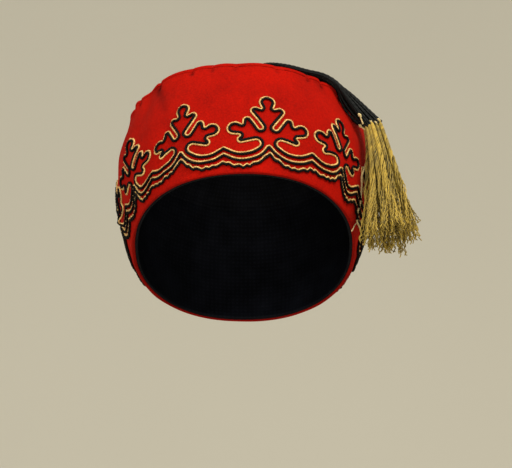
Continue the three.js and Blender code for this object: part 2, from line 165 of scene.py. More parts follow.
class NodeTree:
    """A shader or geometry tree that nodes are added to by one call each."""

    def __init__(self, tree: bpy.types.NodeTree) -> None:
        """Wraps a tree.

        Args:
            tree: The tree to add to.
        """
        self.tree = tree

    def node(self, kind: str, settings: dict | None = None, inputs: dict | None = None,
             output: int | str = 0) -> Value:
        """Adds a node.

        Args:
            kind: The node's type.
            settings: Its own settings, which are set first.
            inputs: Values or links of its sockets, by the socket's place, identifier or name.
            output: The place or name of the socket that is wanted.

        Returns:
            The wanted output socket.
        """
        made = self.tree.nodes.new(kind)
        for name, value in (settings or {}).items():
            setattr(made, name, value)
        for key, value in (inputs or {}).items():
            socket = made.inputs[key] if isinstance(key, int) else self._named(made.inputs, key)
            if isinstance(value, Value):
                self.tree.links.new(value.socket, socket)
            else:
                socket.default_value = value
        found = made.outputs[output] if isinstance(output, int) else self._named(made.outputs, output)
        return Value(self, found)

    def surface(self, shader: Value) -> None:
        """Ends a material's tree with its shader."""
        end = self.tree.nodes.new("ShaderNodeOutputMaterial")
        self.tree.links.new(shader.socket, end.inputs["Surface"])

    @staticmethod
    def _named(sockets: bpy.types.bpy_prop_collection, key: str) -> bpy.types.NodeSocket:
        """The socket in use with this identifier or name."""
        return next(socket for socket in sockets
                    if socket.enabled and key in (socket.identifier, socket.name))


class GeometryTool(NodeTree):
    """A Geometry Nodes tree with named inputs, which is run once on a mesh of lines."""

    def __init__(self, name: str, sizes: dict[str, float | int]) -> None:
        """Starts a tree.

        Args:
            name: The tree's name.
            sizes: The names of its inputs and their usual values.
        """
        group = bpy.data.node_groups.new(name, "GeometryNodeTree")
        super().__init__(group)
        group.interface.new_socket("Lines", in_out="INPUT", socket_type="NodeSocketGeometry")
        for size, usual in sizes.items():
            kind = "NodeSocketInt" if isinstance(usual, int) else "NodeSocketFloat"
            group.interface.new_socket(size, in_out="INPUT", socket_type=kind).default_value = usual
        group.interface.new_socket("Finish", in_out="INPUT", socket_type="NodeSocketMaterial")
        group.interface.new_socket("Mesh", in_out="OUTPUT", socket_type="NodeSocketGeometry")
        self.entry = group.nodes.new("NodeGroupInput")

    def given(self, name: str) -> Value:
        """The tree's input of this name."""
        return Value(self, self.entry.outputs[name])

    def attribute(self, name: str, kind: str = "FLOAT") -> Value:
        """A named attribute of the lines."""
        return self.node("GeometryNodeInputNamedAttribute", {"data_type": kind}, {"Name": name}, "Attribute")

    def close(self, mesh: Value) -> None:
        """Ends the tree: instances are made real, faces are smooth and the finish is set.

        Args:
            mesh: The geometry to end with.
        """
        real = self.node("GeometryNodeRealizeInstances", {}, {"Geometry": mesh})
        smooth = self.node("GeometryNodeSetShadeSmooth", {}, {"Geometry": real})
        dressed = self.node("GeometryNodeSetMaterial", {},
                            {"Geometry": smooth, "Material": self.given("Finish")})
        end = self.tree.nodes.new("NodeGroupOutput")
        self.tree.links.new(dressed.socket, end.inputs["Mesh"])

    def run(self, lines: bpy.types.Object, sizes: dict[str, float | int],
            finish: bpy.types.Material) -> None:
        """Turns a mesh of lines into the finished mesh.

        Args:
            lines: The object that holds the lines.
            sizes: The inputs that differ from their usual values.
            finish: The material.
        """
        modifier = lines.modifiers.new(self.tree.name, "NODES")
        modifier.node_group = self.tree
        wanted = {**sizes, "Finish": finish}
        for item in self.tree.interface.items_tree:
            if item.in_out == "INPUT" and item.name in wanted:
                modifier[item.identifier] = wanted[item.name]
        depsgraph = bpy.context.evaluated_depsgraph_get()
        made = bpy.data.meshes.new_from_object(lines.evaluated_get(depsgraph), depsgraph=depsgraph)
        lines.modifiers.remove(modifier)
        old = lines.data
        lines.data = made
        bpy.data.meshes.remove(old)
        made.name = lines.name
        face_outwards(made)


def corners_of(mesh: bpy.types.Mesh) -> Points:
    """The mesh's points, in metres.

    Args:
        mesh: The mesh.

    Returns:
        A row of three for each point.
    """
    flat = np.empty(len(mesh.vertices) * 3)
    mesh.vertices.foreach_get("co", flat)
    return flat.reshape(-1, 3)


def face_outwards(mesh: bpy.types.Mesh) -> None:
    """Turns a closed mesh's faces over if they point inwards.

    Args:
        mesh: The mesh.
    """
    mesh.calc_loop_triangles()
    triangles = np.empty(len(mesh.loop_triangles) * 3, dtype=np.int32)
    mesh.loop_triangles.foreach_get("vertices", triangles)
    a, b, c = corners_of(mesh)[triangles.reshape(-1, 3)].transpose(1, 0, 2)
    if np.einsum("ij,ij->", a, np.cross(b, c)) < 0:
        mesh.flip_normals()


def put(name: str, data: bpy.types.ID) -> bpy.types.Object:
    """Puts a new object in the scene.

    Args:
        name: Its name.
        data: Its mesh, light or camera.

    Returns:
        The object.
    """
    made = bpy.data.objects.new(name, data)
    bpy.context.scene.collection.objects.link(made)
    return made


def skinned(name: str, rows: Points, looped: bool, finish: bpy.types.Material,
            attributes: dict[str, Points] | None = None) -> bpy.types.Object:
    """A closed mesh over rows of points, each of which closes on itself.

    The run of rows closes on itself too where it is looped. Otherwise a fan closes each end.

    Args:
        name: The piece's name.
        rows: Rows by columns by three, in millimetres.
        looped: Whether the last row joins the first.
        finish: The material.
        attributes: Numbers for each point, by attribute name, rows by columns.

    Returns:
        The object.
    """
    count, width = rows.shape[:2]
    points = rows.reshape(-1, 3)
    lower = np.arange(count if looped else count - 1)[:, None] * width
    upper = (lower + width) % (count * width)
    here = np.arange(width)[None, :]
    beside = (here + 1) % width
    quads = np.stack([lower + here, lower + beside, upper + beside, upper + here], -1).reshape(-1, 4)
    faces = quads.tolist()
    ends = [] if looped else [0, (count - 1) * width]
    for number, start in enumerate(ends):
        middle = len(points)
        points = np.vstack([points, rows[start // width].mean(0)])
        fan = [[middle, start + (i + 1) % width, start + i] for i in range(width)]
        faces += fan if number == 0 else [face[::-1] for face in fan]
    mesh = bpy.data.meshes.new(name)
    mesh.from_pydata((points * MM).tolist(), [], faces)
    for attribute, numbers in (attributes or {}).items():
        layer = mesh.attributes.new(attribute, "FLOAT", "POINT")
        padded = np.zeros(len(points), np.float32)
        padded[:numbers.size] = numbers.reshape(-1)
        layer.data.foreach_set("value", padded)
    mesh.shade_smooth()
    face_outwards(mesh)
    mesh.materials.append(finish)
    return put(name, mesh)


def line_object(name: str, lines: list[Points], closed: bool,
                attributes: dict[str, list[Points]]) -> bpy.types.Object:
    """A mesh of bare lines for Geometry Nodes to work on.

    Args:
        name: The piece's name.
        lines: The points of each line, in millimetres.
        closed: Whether each line closes on itself.
        attributes: Numbers or vectors for each point of each line, by attribute name.

    Returns:
        The object.
    """
    sizes = [len(line) for line in lines]
    starts = np.concatenate([[0], np.cumsum(sizes)[:-1]])
    edges = []
    for start, size in zip(starts, sizes):
        chain = start + np.arange(size)
        pairs = np.stack([chain, np.roll(chain, -1)], 1)
        edges.append(pairs if closed else pairs[:-1])
    mesh = bpy.data.meshes.new(name)
    mesh.from_pydata((np.vstack(lines) * MM).tolist(), np.vstack(edges).tolist(), [])
    for attribute, numbers in attributes.items():
        joined = np.concatenate(numbers).astype(np.float32)
        kind, part = ("FLOAT_VECTOR", "vector") if joined.ndim == 2 else ("FLOAT", "value")
        layer = mesh.attributes.new(attribute, kind, "POINT")
        layer.data.foreach_set(part, joined.ravel())
    return put(name, mesh)


def place(piece: bpy.types.Object, slot: Slot, *nodes: str) -> None:
    """Makes a piece ride on the cap, hides the solids that it stands for, and logs it with its slot's name.

    Args:
        piece: The object.
        slot: Its material slot, whose name is logged.
        nodes: The solids that it stands for.
    """
    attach(piece, ROOT)
    if nodes:
        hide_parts(*nodes)
    piece.data.calc_loop_triangles()
    LOG.info("%s: %d triangles, %s", piece.name, len(piece.data.loop_triangles), slot.value)


@dataclass(frozen=True)
class Finish:
    """What the finishes share: a principled shader with constant sockets, under a colour and a bump."""

    name: str
    roughness: float
    sheen: float = 0.0
    sheen_tint: Colour = (1.0, 1.0, 1.0, 1.0)
    specular: float = 0.5
    bump_height: float = 0.2

    def look(self, tree: NodeTree, where: Value) -> tuple[Value, Value]:
        """The finish's colour and relief, which each finish gives in its own way."""
        raise NotImplementedError

    def material(self) -> bpy.types.Material:
        """Makes the material.

        Returns:
            The material with its shader.
        """
        material = bpy.data.materials.new(self.name)
        material.use_nodes = True
        material.node_tree.nodes.clear()
        tree = NodeTree(material.node_tree)
        paint, height = self.look(tree, tree.node("ShaderNodeTexCoord", {}, {}, "Object"))
        bump = tree.node("ShaderNodeBump", {}, {"Distance": self.bump_height * MM, "Height": height},
                         "Normal")
        tree.surface(tree.node("ShaderNodeBsdfPrincipled", {}, {
            "Base Color": paint,
            "Roughness": self.roughness,
            "Sheen Weight": self.sheen,
            "Sheen Tint": self.sheen_tint,
            "Specular IOR Level": self.specular,
            "Normal": bump,
        }))
        return material

    @staticmethod
    def noise(tree: NodeTree, where: Value, grain: float, detail: float = 2.0) -> Value:
        """A noise whose lumps are about grain millimetres.

        Args:
            tree: The material's tree.
            where: The coordinates.
            grain: The size of a lump.
            detail: How many finer noises are added.

        Returns:
            The noise, from 0 to 1.
        """
        return tree.node("ShaderNodeTexNoise", {}, {
            "Vector": where,
            "Scale": 1 / (grain * MM),
            "Detail": detail,
            "Roughness": NOISE_ROUGHNESS,
        }, "Fac")

    @staticmethod
    def blend(tree: NodeTree, share: Value, first: "Colour | Value", second: "Colour | Value") -> Value:
        """A colour between two others, by a share from 0 to 1."""
        return tree.node("ShaderNodeMix", {"data_type": "RGBA", "clamp_factor": True},
                         {"Factor_Float": share, "A_Color": first, "B_Color": second}, "Result_Color")


@dataclass(frozen=True)
class MilledFelt(Finish):
    """Milled wool felt: matt and napped, mottled, with painted shade where it is drawn in by a stitch or a
    fold.
    """

    bright: Colour = colour(171, 14, 2)
    deep: Colour = colour(118, 7, 2)
    # shaded is the painted shade colour that folds, stitches and the rim's edge are darkened towards.
    shaded: Colour = colour(58, 5, 4)
    cloud: float = 26.0
    nap: float = 1.3
    hair: float = 0.35
    cloud_strength: float = 1.1
    nap_strength: float = 1.3
    hair_strength: float = 0.9
    nap_relief: float = 0.65

    def look(self, tree: NodeTree, where: Value) -> tuple[Value, Value]:
        """The felt's colour and relief. Its attribute "fold" is 1 in the deepest fold, where the painted
        shade is full.

        Args:
            tree: The material's tree.
            where: The coordinates.

        Returns:
            The colour, and the relief from 0 to 1.
        """
        nap = self.noise(tree, where, self.nap, detail=4.0)
        hair = self.noise(tree, where, self.hair)
        cloud = self.noise(tree, where, self.cloud, detail=3.0)
        share = ((cloud - MIDDLE) * self.cloud_strength + (nap - MIDDLE) * self.nap_strength
                 + (hair - MIDDLE) * self.hair_strength + MIDDLE)
        felt = self.blend(tree, share, self.deep, self.bright)
        # Painted shade: the felt is blended towards the shaded colour by its fold attribute.
        fold = tree.node("ShaderNodeAttribute", {"attribute_name": "fold"}, {}, "Fac")
        relief = nap * self.nap_relief + hair * (1 - self.nap_relief)
        return self.blend(tree, fold, felt, self.shaded), relief


@dataclass(frozen=True)
class WovenCloth(Finish):
    """Close plain weave, with its threads along the piece's own UV map."""

    light: Colour = colour(21, 23, 30)
    dark: Colour = colour(5, 6, 10)
    thread: float = 0.5
    cloud: float = 18.0
    cloud_strength: float = 1.4
    weave_strength: float = 0.5
    base_tone: float = 0.2

    def look(self, tree: NodeTree, where: Value) -> tuple[Value, Value]:
        """The cloth's colour and relief.

        Args:
            tree: The material's tree.
            where: The coordinates.

        Returns:
            The colour, and the relief from 0 to 1.
        """
        cloth = tree.node("ShaderNodeUVMap", {"uv_map": "cloth"}, {}, "UV")
        scale = 1 / (self.thread * MM) / BANDS_PER_UNIT
        across, along = (tree.node("ShaderNodeTexWave", {"bands_direction": direction},
                                   {"Vector": cloth, "Scale": scale}, "Fac") for direction in ("X", "Y"))
        weave = across * along
        cloud = (self.noise(tree, where, self.cloud) - MIDDLE) * self.cloud_strength
        share = cloud + weave * self.weave_strength + self.base_tone
        return self.blend(tree, share, self.dark, self.light), weave


@dataclass(frozen=True)
class SpunThread(Finish):
    """Silk or gilt thread: fine lengthwise fibres, lighter and darker from thread to thread."""

    light: Colour = colour(240, 200, 130)
    dark: Colour = colour(150, 112, 50)
    fibre: float = 0.25
    cloud: float = 4.0
    contrast: float = 0.9
    fibre_strength: float = 0.9
    base_tone: float = 0.6
    by_tone: bool = False

    def look(self, tree: NodeTree, where: Value) -> tuple[Value, Value]:
        """The thread's colour and relief. Where it goes by tone, its attribute "tone" is 1 on the lightest.

        Args:
            tree: The material's tree.
            where: The coordinates.

        Returns:
            The colour, and the relief from 0 to 1.
        """
        fibre = self.noise(tree, where, self.fibre)
        cloud = self.noise(tree, where, self.cloud)
        tone = self.base_tone
        if self.by_tone:
            # On the tassel, "tone" holds each thread's random tone and the inner yarns' painted shade.
            tone = tree.node("ShaderNodeAttribute", {"attribute_name": "tone"}, {}, "Fac")
        share = (fibre - MIDDLE) * self.fibre_strength + (cloud - MIDDLE) * self.contrast + tone
        return self.blend(tree, share, self.dark, self.light), fibre


@dataclass(frozen=True)
class Dent:
    """A soft dent in the felt: its place and reach in degrees and levels, and its depth."""

    turn: float
    level: float
    depth: float
    across: float
    reach: float


@dataclass(frozen=True)
class Crease:
    """A fold that runs from one place on the band to another: its depth and its width across."""

    turns: tuple[float, float]
    levels: tuple[float, float]
    depth: float
    width: float


@dataclass(frozen=True)
class Wave:
    """A slight wave over two measures: its height, how fast it runs with each of them, and its start."""

    height: float
    first_pace: float
    second_pace: float
    start: float

    def at(self, first: Points, second: Points) -> Points:
        """Its height where the two measures are first and second."""
        return self.height * np.sin(self.first_pace * first + self.second_pace * second + self.start)


# Steps of the sines that make each gathering stitch its own: its place, puff, slant and strength.
PLACE_STEP, PUFF_STEP, SLANT_STEP, STRENGTH_STEP = 1.7, 2.4, 2.9, 5.3


@dataclass(frozen=True)
class CapForm:
    """The cap's shape, as the solids have it, with the fine relief of the felt on top."""

    rim_half_width: float = 76.0
    rim_half_length: float = 98.5
    widest_half_width: float = 87.0
    widest_half_length: float = 100.0
    seam_half_width: float = 82.0
    seam_half_length: float = 91.0
    band_height: float = 88.0
    widest_level: float = 0.47
    squareness: float = 2.2
    crown_rise: float = 35.0
    felt: float = 2.2
    lining: float = 1.0
    clearance: float = 0.3
    gather_count: int = 28
    gather_depth: float = 1.5
    gather_reach: float = 13.0
    gather_unevenness: float = 0.28
    stitch_depth: float = 1.1
    stitch_width: float = 1.7
    stitch_drop: float = 2.2
    stitch_slant: float = 0.5
    stitch_flatness: float = 0.9
    stitch_strength: float = 0.75
    strength_unevenness: float = 0.35
    pucker_reach: float = 6.0
    pucker_strength: float = 0.35
    pucker_width: float = 0.7
    puff_unevenness: float = 0.3
    crease_millimetres_per_degree: float = 1.5
    crease_fade: float = 0.12
    crease_overrun: float = 0.04
    crease_end: float = 0.06
    # How strongly stitches and creases darken the felt, as painted shade.
    shade_by_pull: float = 0.55
    shade_by_crease: float = 0.5
    crown_pull: float = 0.7
    button_share: float = 0.12
    waves: tuple[Wave, ...] = (
        Wave(0.3, 3, 2.0, 1.1),
        Wave(0.22, 7, 4.1, 0.0),
        Wave(0.14, 13, -7.3, 0.6),
        Wave(0.08, 23, 11, 0.0),
    )
    dents: tuple[Dent, ...] = (
        Dent(-47, 0.92, 3.08, 5, 0.28),
        Dent(33, 1.0, 2.42, 11, 0.2),
        Dent(52, 1.0, 2.64, 10, 0.22),
        Dent(-150, 0.85, 2.42, 12, 0.3),
        Dent(128, 0.9, 2.64, 9, 0.25),
        Dent(-80, 1.0, 2.7, 26, 0.24),
        Dent(-86, 0.76, -2.2, 24, 0.13),
        Dent(-88, 0.26, 2.0, 26, 0.13),
        Dent(92, 0.68, -2.4, 20, 0.3),
    )
    creases: tuple[Crease, ...] = (
        Crease((-41, -35), (0.98, 0.78), 1.15, 4.0),
        Crease((-36, -31), (0.82, 0.56), 0.55, 3.4),
        Crease((-32, -29), (0.58, 0.38), 0.35, 3.0),
        Crease((33, 38), (0.99, 0.86), 0.5, 3.0),
    )

    def plan_radius(self, turn: Points, half_width: Points, half_length: Points) -> Points:
        """Distance from the axis to the rounded plan outline.

        Args:
            turn: The turn.
            half_width: The outline's half width.
            half_length: Its half length.

        Returns:
            The distance.
        """
        across = np.abs(np.sin(turn) / half_width) ** self.squareness
        along = np.abs(np.cos(turn) / half_length) ** self.squareness
        return (across + along) ** (-1 / self.squareness)

    def band_plan(self, level: Points) -> tuple[Points, Points]:
        """The band's half width and half length at a level.

        Args:
            level: The level.

        Returns:
            The half width and the half length.
        """
        below = level < self.widest_level
        share = np.where(below, level / self.widest_level,
                         (level - self.widest_level) / (1 - self.widest_level))
        swell = np.where(below, np.sin(share * math.pi / 2), np.cos(share * math.pi / 2))
        width = mix(np.where(below, self.rim_half_width, self.seam_half_width),
                    self.widest_half_width, swell)
        length = mix(np.where(below, self.rim_half_length, self.seam_half_length),
                     self.widest_half_length, swell)
        return width, length

    def dent_depth(self, turn: Points, level: Points) -> Points:
        """How far the soft dents press in.

        Args:
            turn: The turn.
            level: The level.

        Returns:
            The depth in millimetres.
        """
        depth = np.zeros(np.broadcast(turn, level).shape)
        for dent in self.dents:
            apart = np.degrees(turn) - dent.turn
            across = (apart - DEGREES_ROUND * np.round(apart / DEGREES_ROUND)) / dent.across
            along = (level - dent.level) / dent.reach
            depth = depth + dent.depth * np.exp(-(across ** 2) - along ** 2)
        return depth

    @cached_property
    def gather_turns(self) -> Points:
        """The turns of the stitches that gather the crown seam, from the back round to the back.

        Returns:
            The turns.
        """
        i = np.arange(self.gather_count + 1)
        uneven = np.where(i % self.gather_count == 0, 0, self.gather_unevenness * np.sin(PLACE_STEP * i))
        return ((i + uneven) / self.gather_count - 0.5) * FULL_TURN

    def gather_puff(self, turn: Points) -> Points:
        """How far the felt puffs out between two gathering stitches.

        Args:
            turn: The turn.

        Returns:
            The height in millimetres.
        """
        wrapped = turn - FULL_TURN * np.floor((turn + math.pi) / FULL_TURN)
        i = np.clip(np.searchsorted(self.gather_turns, wrapped, side="right") - 1, 0, self.gather_count - 1)
        start, end = self.gather_turns[i], self.gather_turns[i + 1]
        share = np.clip((wrapped - start) / (end - start), 0, 1)
        size = 1 - self.puff_unevenness + self.puff_unevenness * np.sin(PUFF_STEP * i)
        return self.gather_depth * size * np.sin(math.pi * share)

    def columns(self, per_gather: int) -> Points:
        """Turns of mesh columns, so that each gathering stitch falls on a column.

        Args:
            per_gather: How many columns there are from one stitch to the next.

        Returns:
            The turns.
        """
        share = np.arange(per_gather) / per_gather
        spans = np.diff(self.gather_turns)[:, None] * share[None, :]
        return (self.gather_turns[:-1, None] + spans).ravel()

    def stitch_pull(self, turn: Points, drop: Points) -> Points:
        """How far the gathering stitches draw the felt in, at a distance from the seam.

        Args:
            turn: The turn.
            drop: The distance from the seam along the felt.

        Returns:
            The depth in millimetres.
        """
        pull = np.zeros(np.broadcast(turn, drop).shape)
        for i, stitch in enumerate(self.gather_turns[:-1]):
            apart = turn - stitch
            apart = (apart - FULL_TURN * np.round(apart / FULL_TURN)) * self.seam_half_length
            below = drop - self.stitch_drop
            slant = apart + self.stitch_slant * below * math.sin(SLANT_STEP * i)
            strength = self.stitch_strength + self.strength_unevenness * math.sin(STRENGTH_STEP * i)
            spot = np.exp(-(slant / self.stitch_width) ** 2
                          - (below / (self.stitch_flatness * self.stitch_width)) ** 2)
            pucker = self.pucker_strength * np.exp(-(slant / (self.pucker_width * self.stitch_width)) ** 2
                                                   - drop / self.pucker_reach)
            pull = pull + strength * (spot + pucker)
        return self.stitch_depth * pull

    def crease_depth(self, turn: Points, level: Points) -> Points:
        """How deep the felt's folds are.

        Args:
            turn: The turn.
            level: The level.

        Returns:
            The depth in millimetres.
        """
        depth = np.zeros(np.broadcast(turn, level).shape)
        degrees = np.degrees(turn)
        for crease in self.creases:
            low, high = sorted(crease.levels)
            apart = degrees - np.interp(level, (low, high), crease.turns[::-1])
            apart = apart - DEGREES_ROUND * np.round(apart / DEGREES_ROUND)
            across = apart * self.crease_millimetres_per_degree / crease.width
            fade = np.clip((level - low) / self.crease_fade, 0, 1)
            fade = fade * np.clip((high + self.crease_overrun - level) / self.crease_end, 0, 1)
            depth = depth + crease.depth * fade * np.exp(-(across ** 2))
        return depth

    def unevenness(self, turn: Points, level: Points) -> Points:
        """The slight waves of handled felt."""
        return sum(wave.at(turn, level) for wave in self.waves)

    def fold(self, turn: Points, level: Points) -> Points:
        """How far in a fold or at a stitch the felt is, from 0 to 1: the share of painted shade that it
        gets.
        """
        pull = self.stitch_pull(turn, (1 - level) * self.band_height) / self.stitch_depth
        return np.clip(self.shade_by_pull * pull + self.shade_by_crease * self.crease_depth(turn, level), 0, 1)

    def wall(self, turn: Points, level: Points, inset: float = 0.0, outer: bool = True) -> Points:
        """A point of the side wall, inset from the band's outer face.

        Args:
            turn: The turn.
            level: The level.
            inset: How far inside the outer face.
            outer: Whether it has the gathers and the fine relief of the outer face.

        Returns:
            The point or points.
        """
        radius = self.plan_radius(turn, *self.band_plan(level)) - self.dent_depth(turn, level) - inset
        if outer:
            drop = (1 - level) * self.band_height
            near = np.maximum(0, 1 - drop / self.gather_reach)
            radius = radius + self.gather_puff(turn) * near + self.unevenness(turn, level)
            radius = radius - self.stitch_pull(turn, drop) - self.crease_depth(turn, level)
        return around(turn, radius, level * self.band_height)

    def outward(self, turn: Points, level: Points) -> Points:
        """The direction straight off the band's outer face.

        Args:
            turn: The turn.
            level: The level.

        Returns:
            The direction, one long.
        """
        here = self.wall(turn, level)
        along_turn = self.wall(turn + NUDGE, level) - here
        along_level = self.wall(turn, level + NUDGE) - here
        return unit(np.cross(along_turn, along_level))

    def seam_nearness(self, share: Points) -> Points:
        """How near a place on the crown is to the seam, from 1 on it to 0."""
        return np.maximum(0, 1 - (1 - share) * self.seam_half_width / self.gather_reach)

    def crown(self, turn: Points, share: Points, lift: float = 0.0, outer: bool = True) -> Points:
        """A point on the crown's dome, above its underside by lift.

        Args:
            turn: The turn.
            share: The share of the way from the middle to the seam.
            lift: The height above the underside.
            outer: Whether it has the gathers and the fine relief of the outer face.

        Returns:
            The point or points.
        """
        edge = self.plan_radius(turn, self.seam_half_width, self.seam_half_length)
        edge = edge - self.dent_depth(turn, 1.0)
        near = self.seam_nearness(share)
        puff = self.gather_puff(turn) * near if outer else 0.0
        if outer:
            edge = edge + near * (self.unevenness(turn, 1.0) - self.stitch_pull(turn, 0.0))
        height = self.band_height + self.clearance + self.crown_rise * (1 - share ** 2) + lift
        height = height + puff * (1 - near)
        if outer:
            pull = self.crown_pull * self.stitch_pull(turn, (1 - share) * self.seam_half_width)
            height = height - pull + self.unevenness(turn, share) * (1 - near)
        return around(turn, edge * share + puff, height)

    @cached_property
    def seat_of_button(self) -> float:
        """The height that the crown button sits at."""
        rise = self.crown_rise * (1 - self.button_share ** 2)
        return self.band_height + self.clearance + rise + self.felt


def around(turn: Points, radius: Points, height: Points) -> Points:
    """Points about the axis."""
    parts = np.broadcast_arrays(radius * np.sin(turn), -radius * np.cos(turn), height)
    return np.stack(parts, -1)


@dataclass
class FeltShell:
    """The red felt: the side band with its rounded rim, and the crown that is gathered into it."""

    form: CapForm
    columns_per_gather: int = 32
    band_rows: int = 50
    seam_rows: int = 22
    edge_rows: int = 4
    seam_stretch: float = 0.12
    rim_bulge: float = 0.35
    # The painted shade given evenly to the inner face and the rim's rounded edge.
    edge_painted_shade: float = 0.3
    crown_rows: int = 40
    crown_start: float = 0.05
    crown_bend: float = 0.84
    finish: MilledFelt = MilledFelt(
        "red_felt", roughness=0.95, sheen=0.12, sheen_tint=colour(255, 60, 30), specular=0.05,
        bump_height=0.35)

    def build(self) -> None:
        """Makes both pieces."""
        felt = self.finish.material()
        place(self._band(felt), Slot.FELT, "side_band")
        place(self._crown(felt), Slot.FELT, "crown_top")

    def _rounded(self, turns: Points, at_end: Points, edge_level: float) -> list[Points]:
        """Rows round the felt's cut edge, from the outer face to the inner one.

        Args:
            turns: The columns' turns.
            at_end: Points of the outer face at the edge.
            edge_level: The level of the edge, 0 or 1.

        Returns:
            The rows.
        """
        inner = self.form.wall(turns, np.full_like(turns, edge_level), self.form.felt, False)
        bulge = -self.rim_bulge * self.form.felt if edge_level == 0 else 0.0
        rows = []
        for share in np.linspace(0, 1, self.edge_rows + 2)[1:-1]:
            row = at_end + (inner - at_end) * share
            row[:, 2] += bulge * math.sin(math.pi * share)
            rows.append(row)
        return rows

    def _band(self, felt: bpy.types.Material) -> bpy.types.Object:
        """The side band.

        Args:
            felt: Its material.

        Returns:
            The object.
        """
        turns = self.form.columns(self.columns_per_gather)
        levels = np.concatenate([
            np.linspace(0, 1 - self.seam_stretch, self.band_rows, endpoint=False),
            np.linspace(1 - self.seam_stretch, 1, self.seam_rows),
        ])
        turn_grid, level_grid = np.meshgrid(turns, levels)
        outer = self.form.wall(turn_grid, level_grid)
        top = self._rounded(turns, outer[-1].copy(), 1)
        bottom = self._rounded(turns, outer[0].copy(), 0)
        inner = [self.form.wall(turns, np.full_like(turns, level), self.form.felt, False)
                 for level in INNER_LEVELS]
        rows = np.array([*outer, *top, *inner, *bottom[::-1]])
        # Painted shade: stitches and creases darken the outer face, and the inner face and rim's edge get an
        # even share.
        fold = np.zeros(rows.shape[:2])
        fold[:len(levels)] = self.form.fold(turn_grid, level_grid)
        fold[-2 * self.edge_rows:] = self.edge_painted_shade
        return skinned("felt_band", rows, True, felt, {"fold": fold})

    def _crown(self, felt: bpy.types.Material) -> bpy.types.Object:
        """The gathered crown.

        Args:
            felt: Its material.

        Returns:
            The object.
        """
        turns = self.form.columns(self.columns_per_gather)
        half = self.crown_rows // 2
        shares = np.concatenate([np.linspace(self.crown_start, self.crown_bend, half, endpoint=False),
                                 np.linspace(self.crown_bend, 1, half)])
        turn_grid, share_grid = np.meshgrid(turns, shares)
        top = self.form.crown(turn_grid, share_grid, self.form.felt)
        under = np.array([self.form.crown(turns, np.full_like(turns, share), 0.0, False)
                          for share in (1.0, *INNER_SHARES, self.crown_start)])
        whole = np.ones_like(turns)
        edge = [self.form.crown(turns, whole, lift)
                for lift in (self.form.felt / 2, -self.form.clearance)]
        rows = np.array([*top, *edge, *under])
        pull = self.form.stitch_pull(turn_grid, (1 - share_grid) * self.form.seam_half_width)
        # Painted shade: the crown is darkened at its gathering stitches.
        fold = np.zeros(rows.shape[:2])
        fold[:len(shares)] = np.clip(self.form.shade_by_pull * pull / self.form.stitch_depth, 0, 1)
        return skinned("felt_crown", rows, False, felt, {"fold": fold})


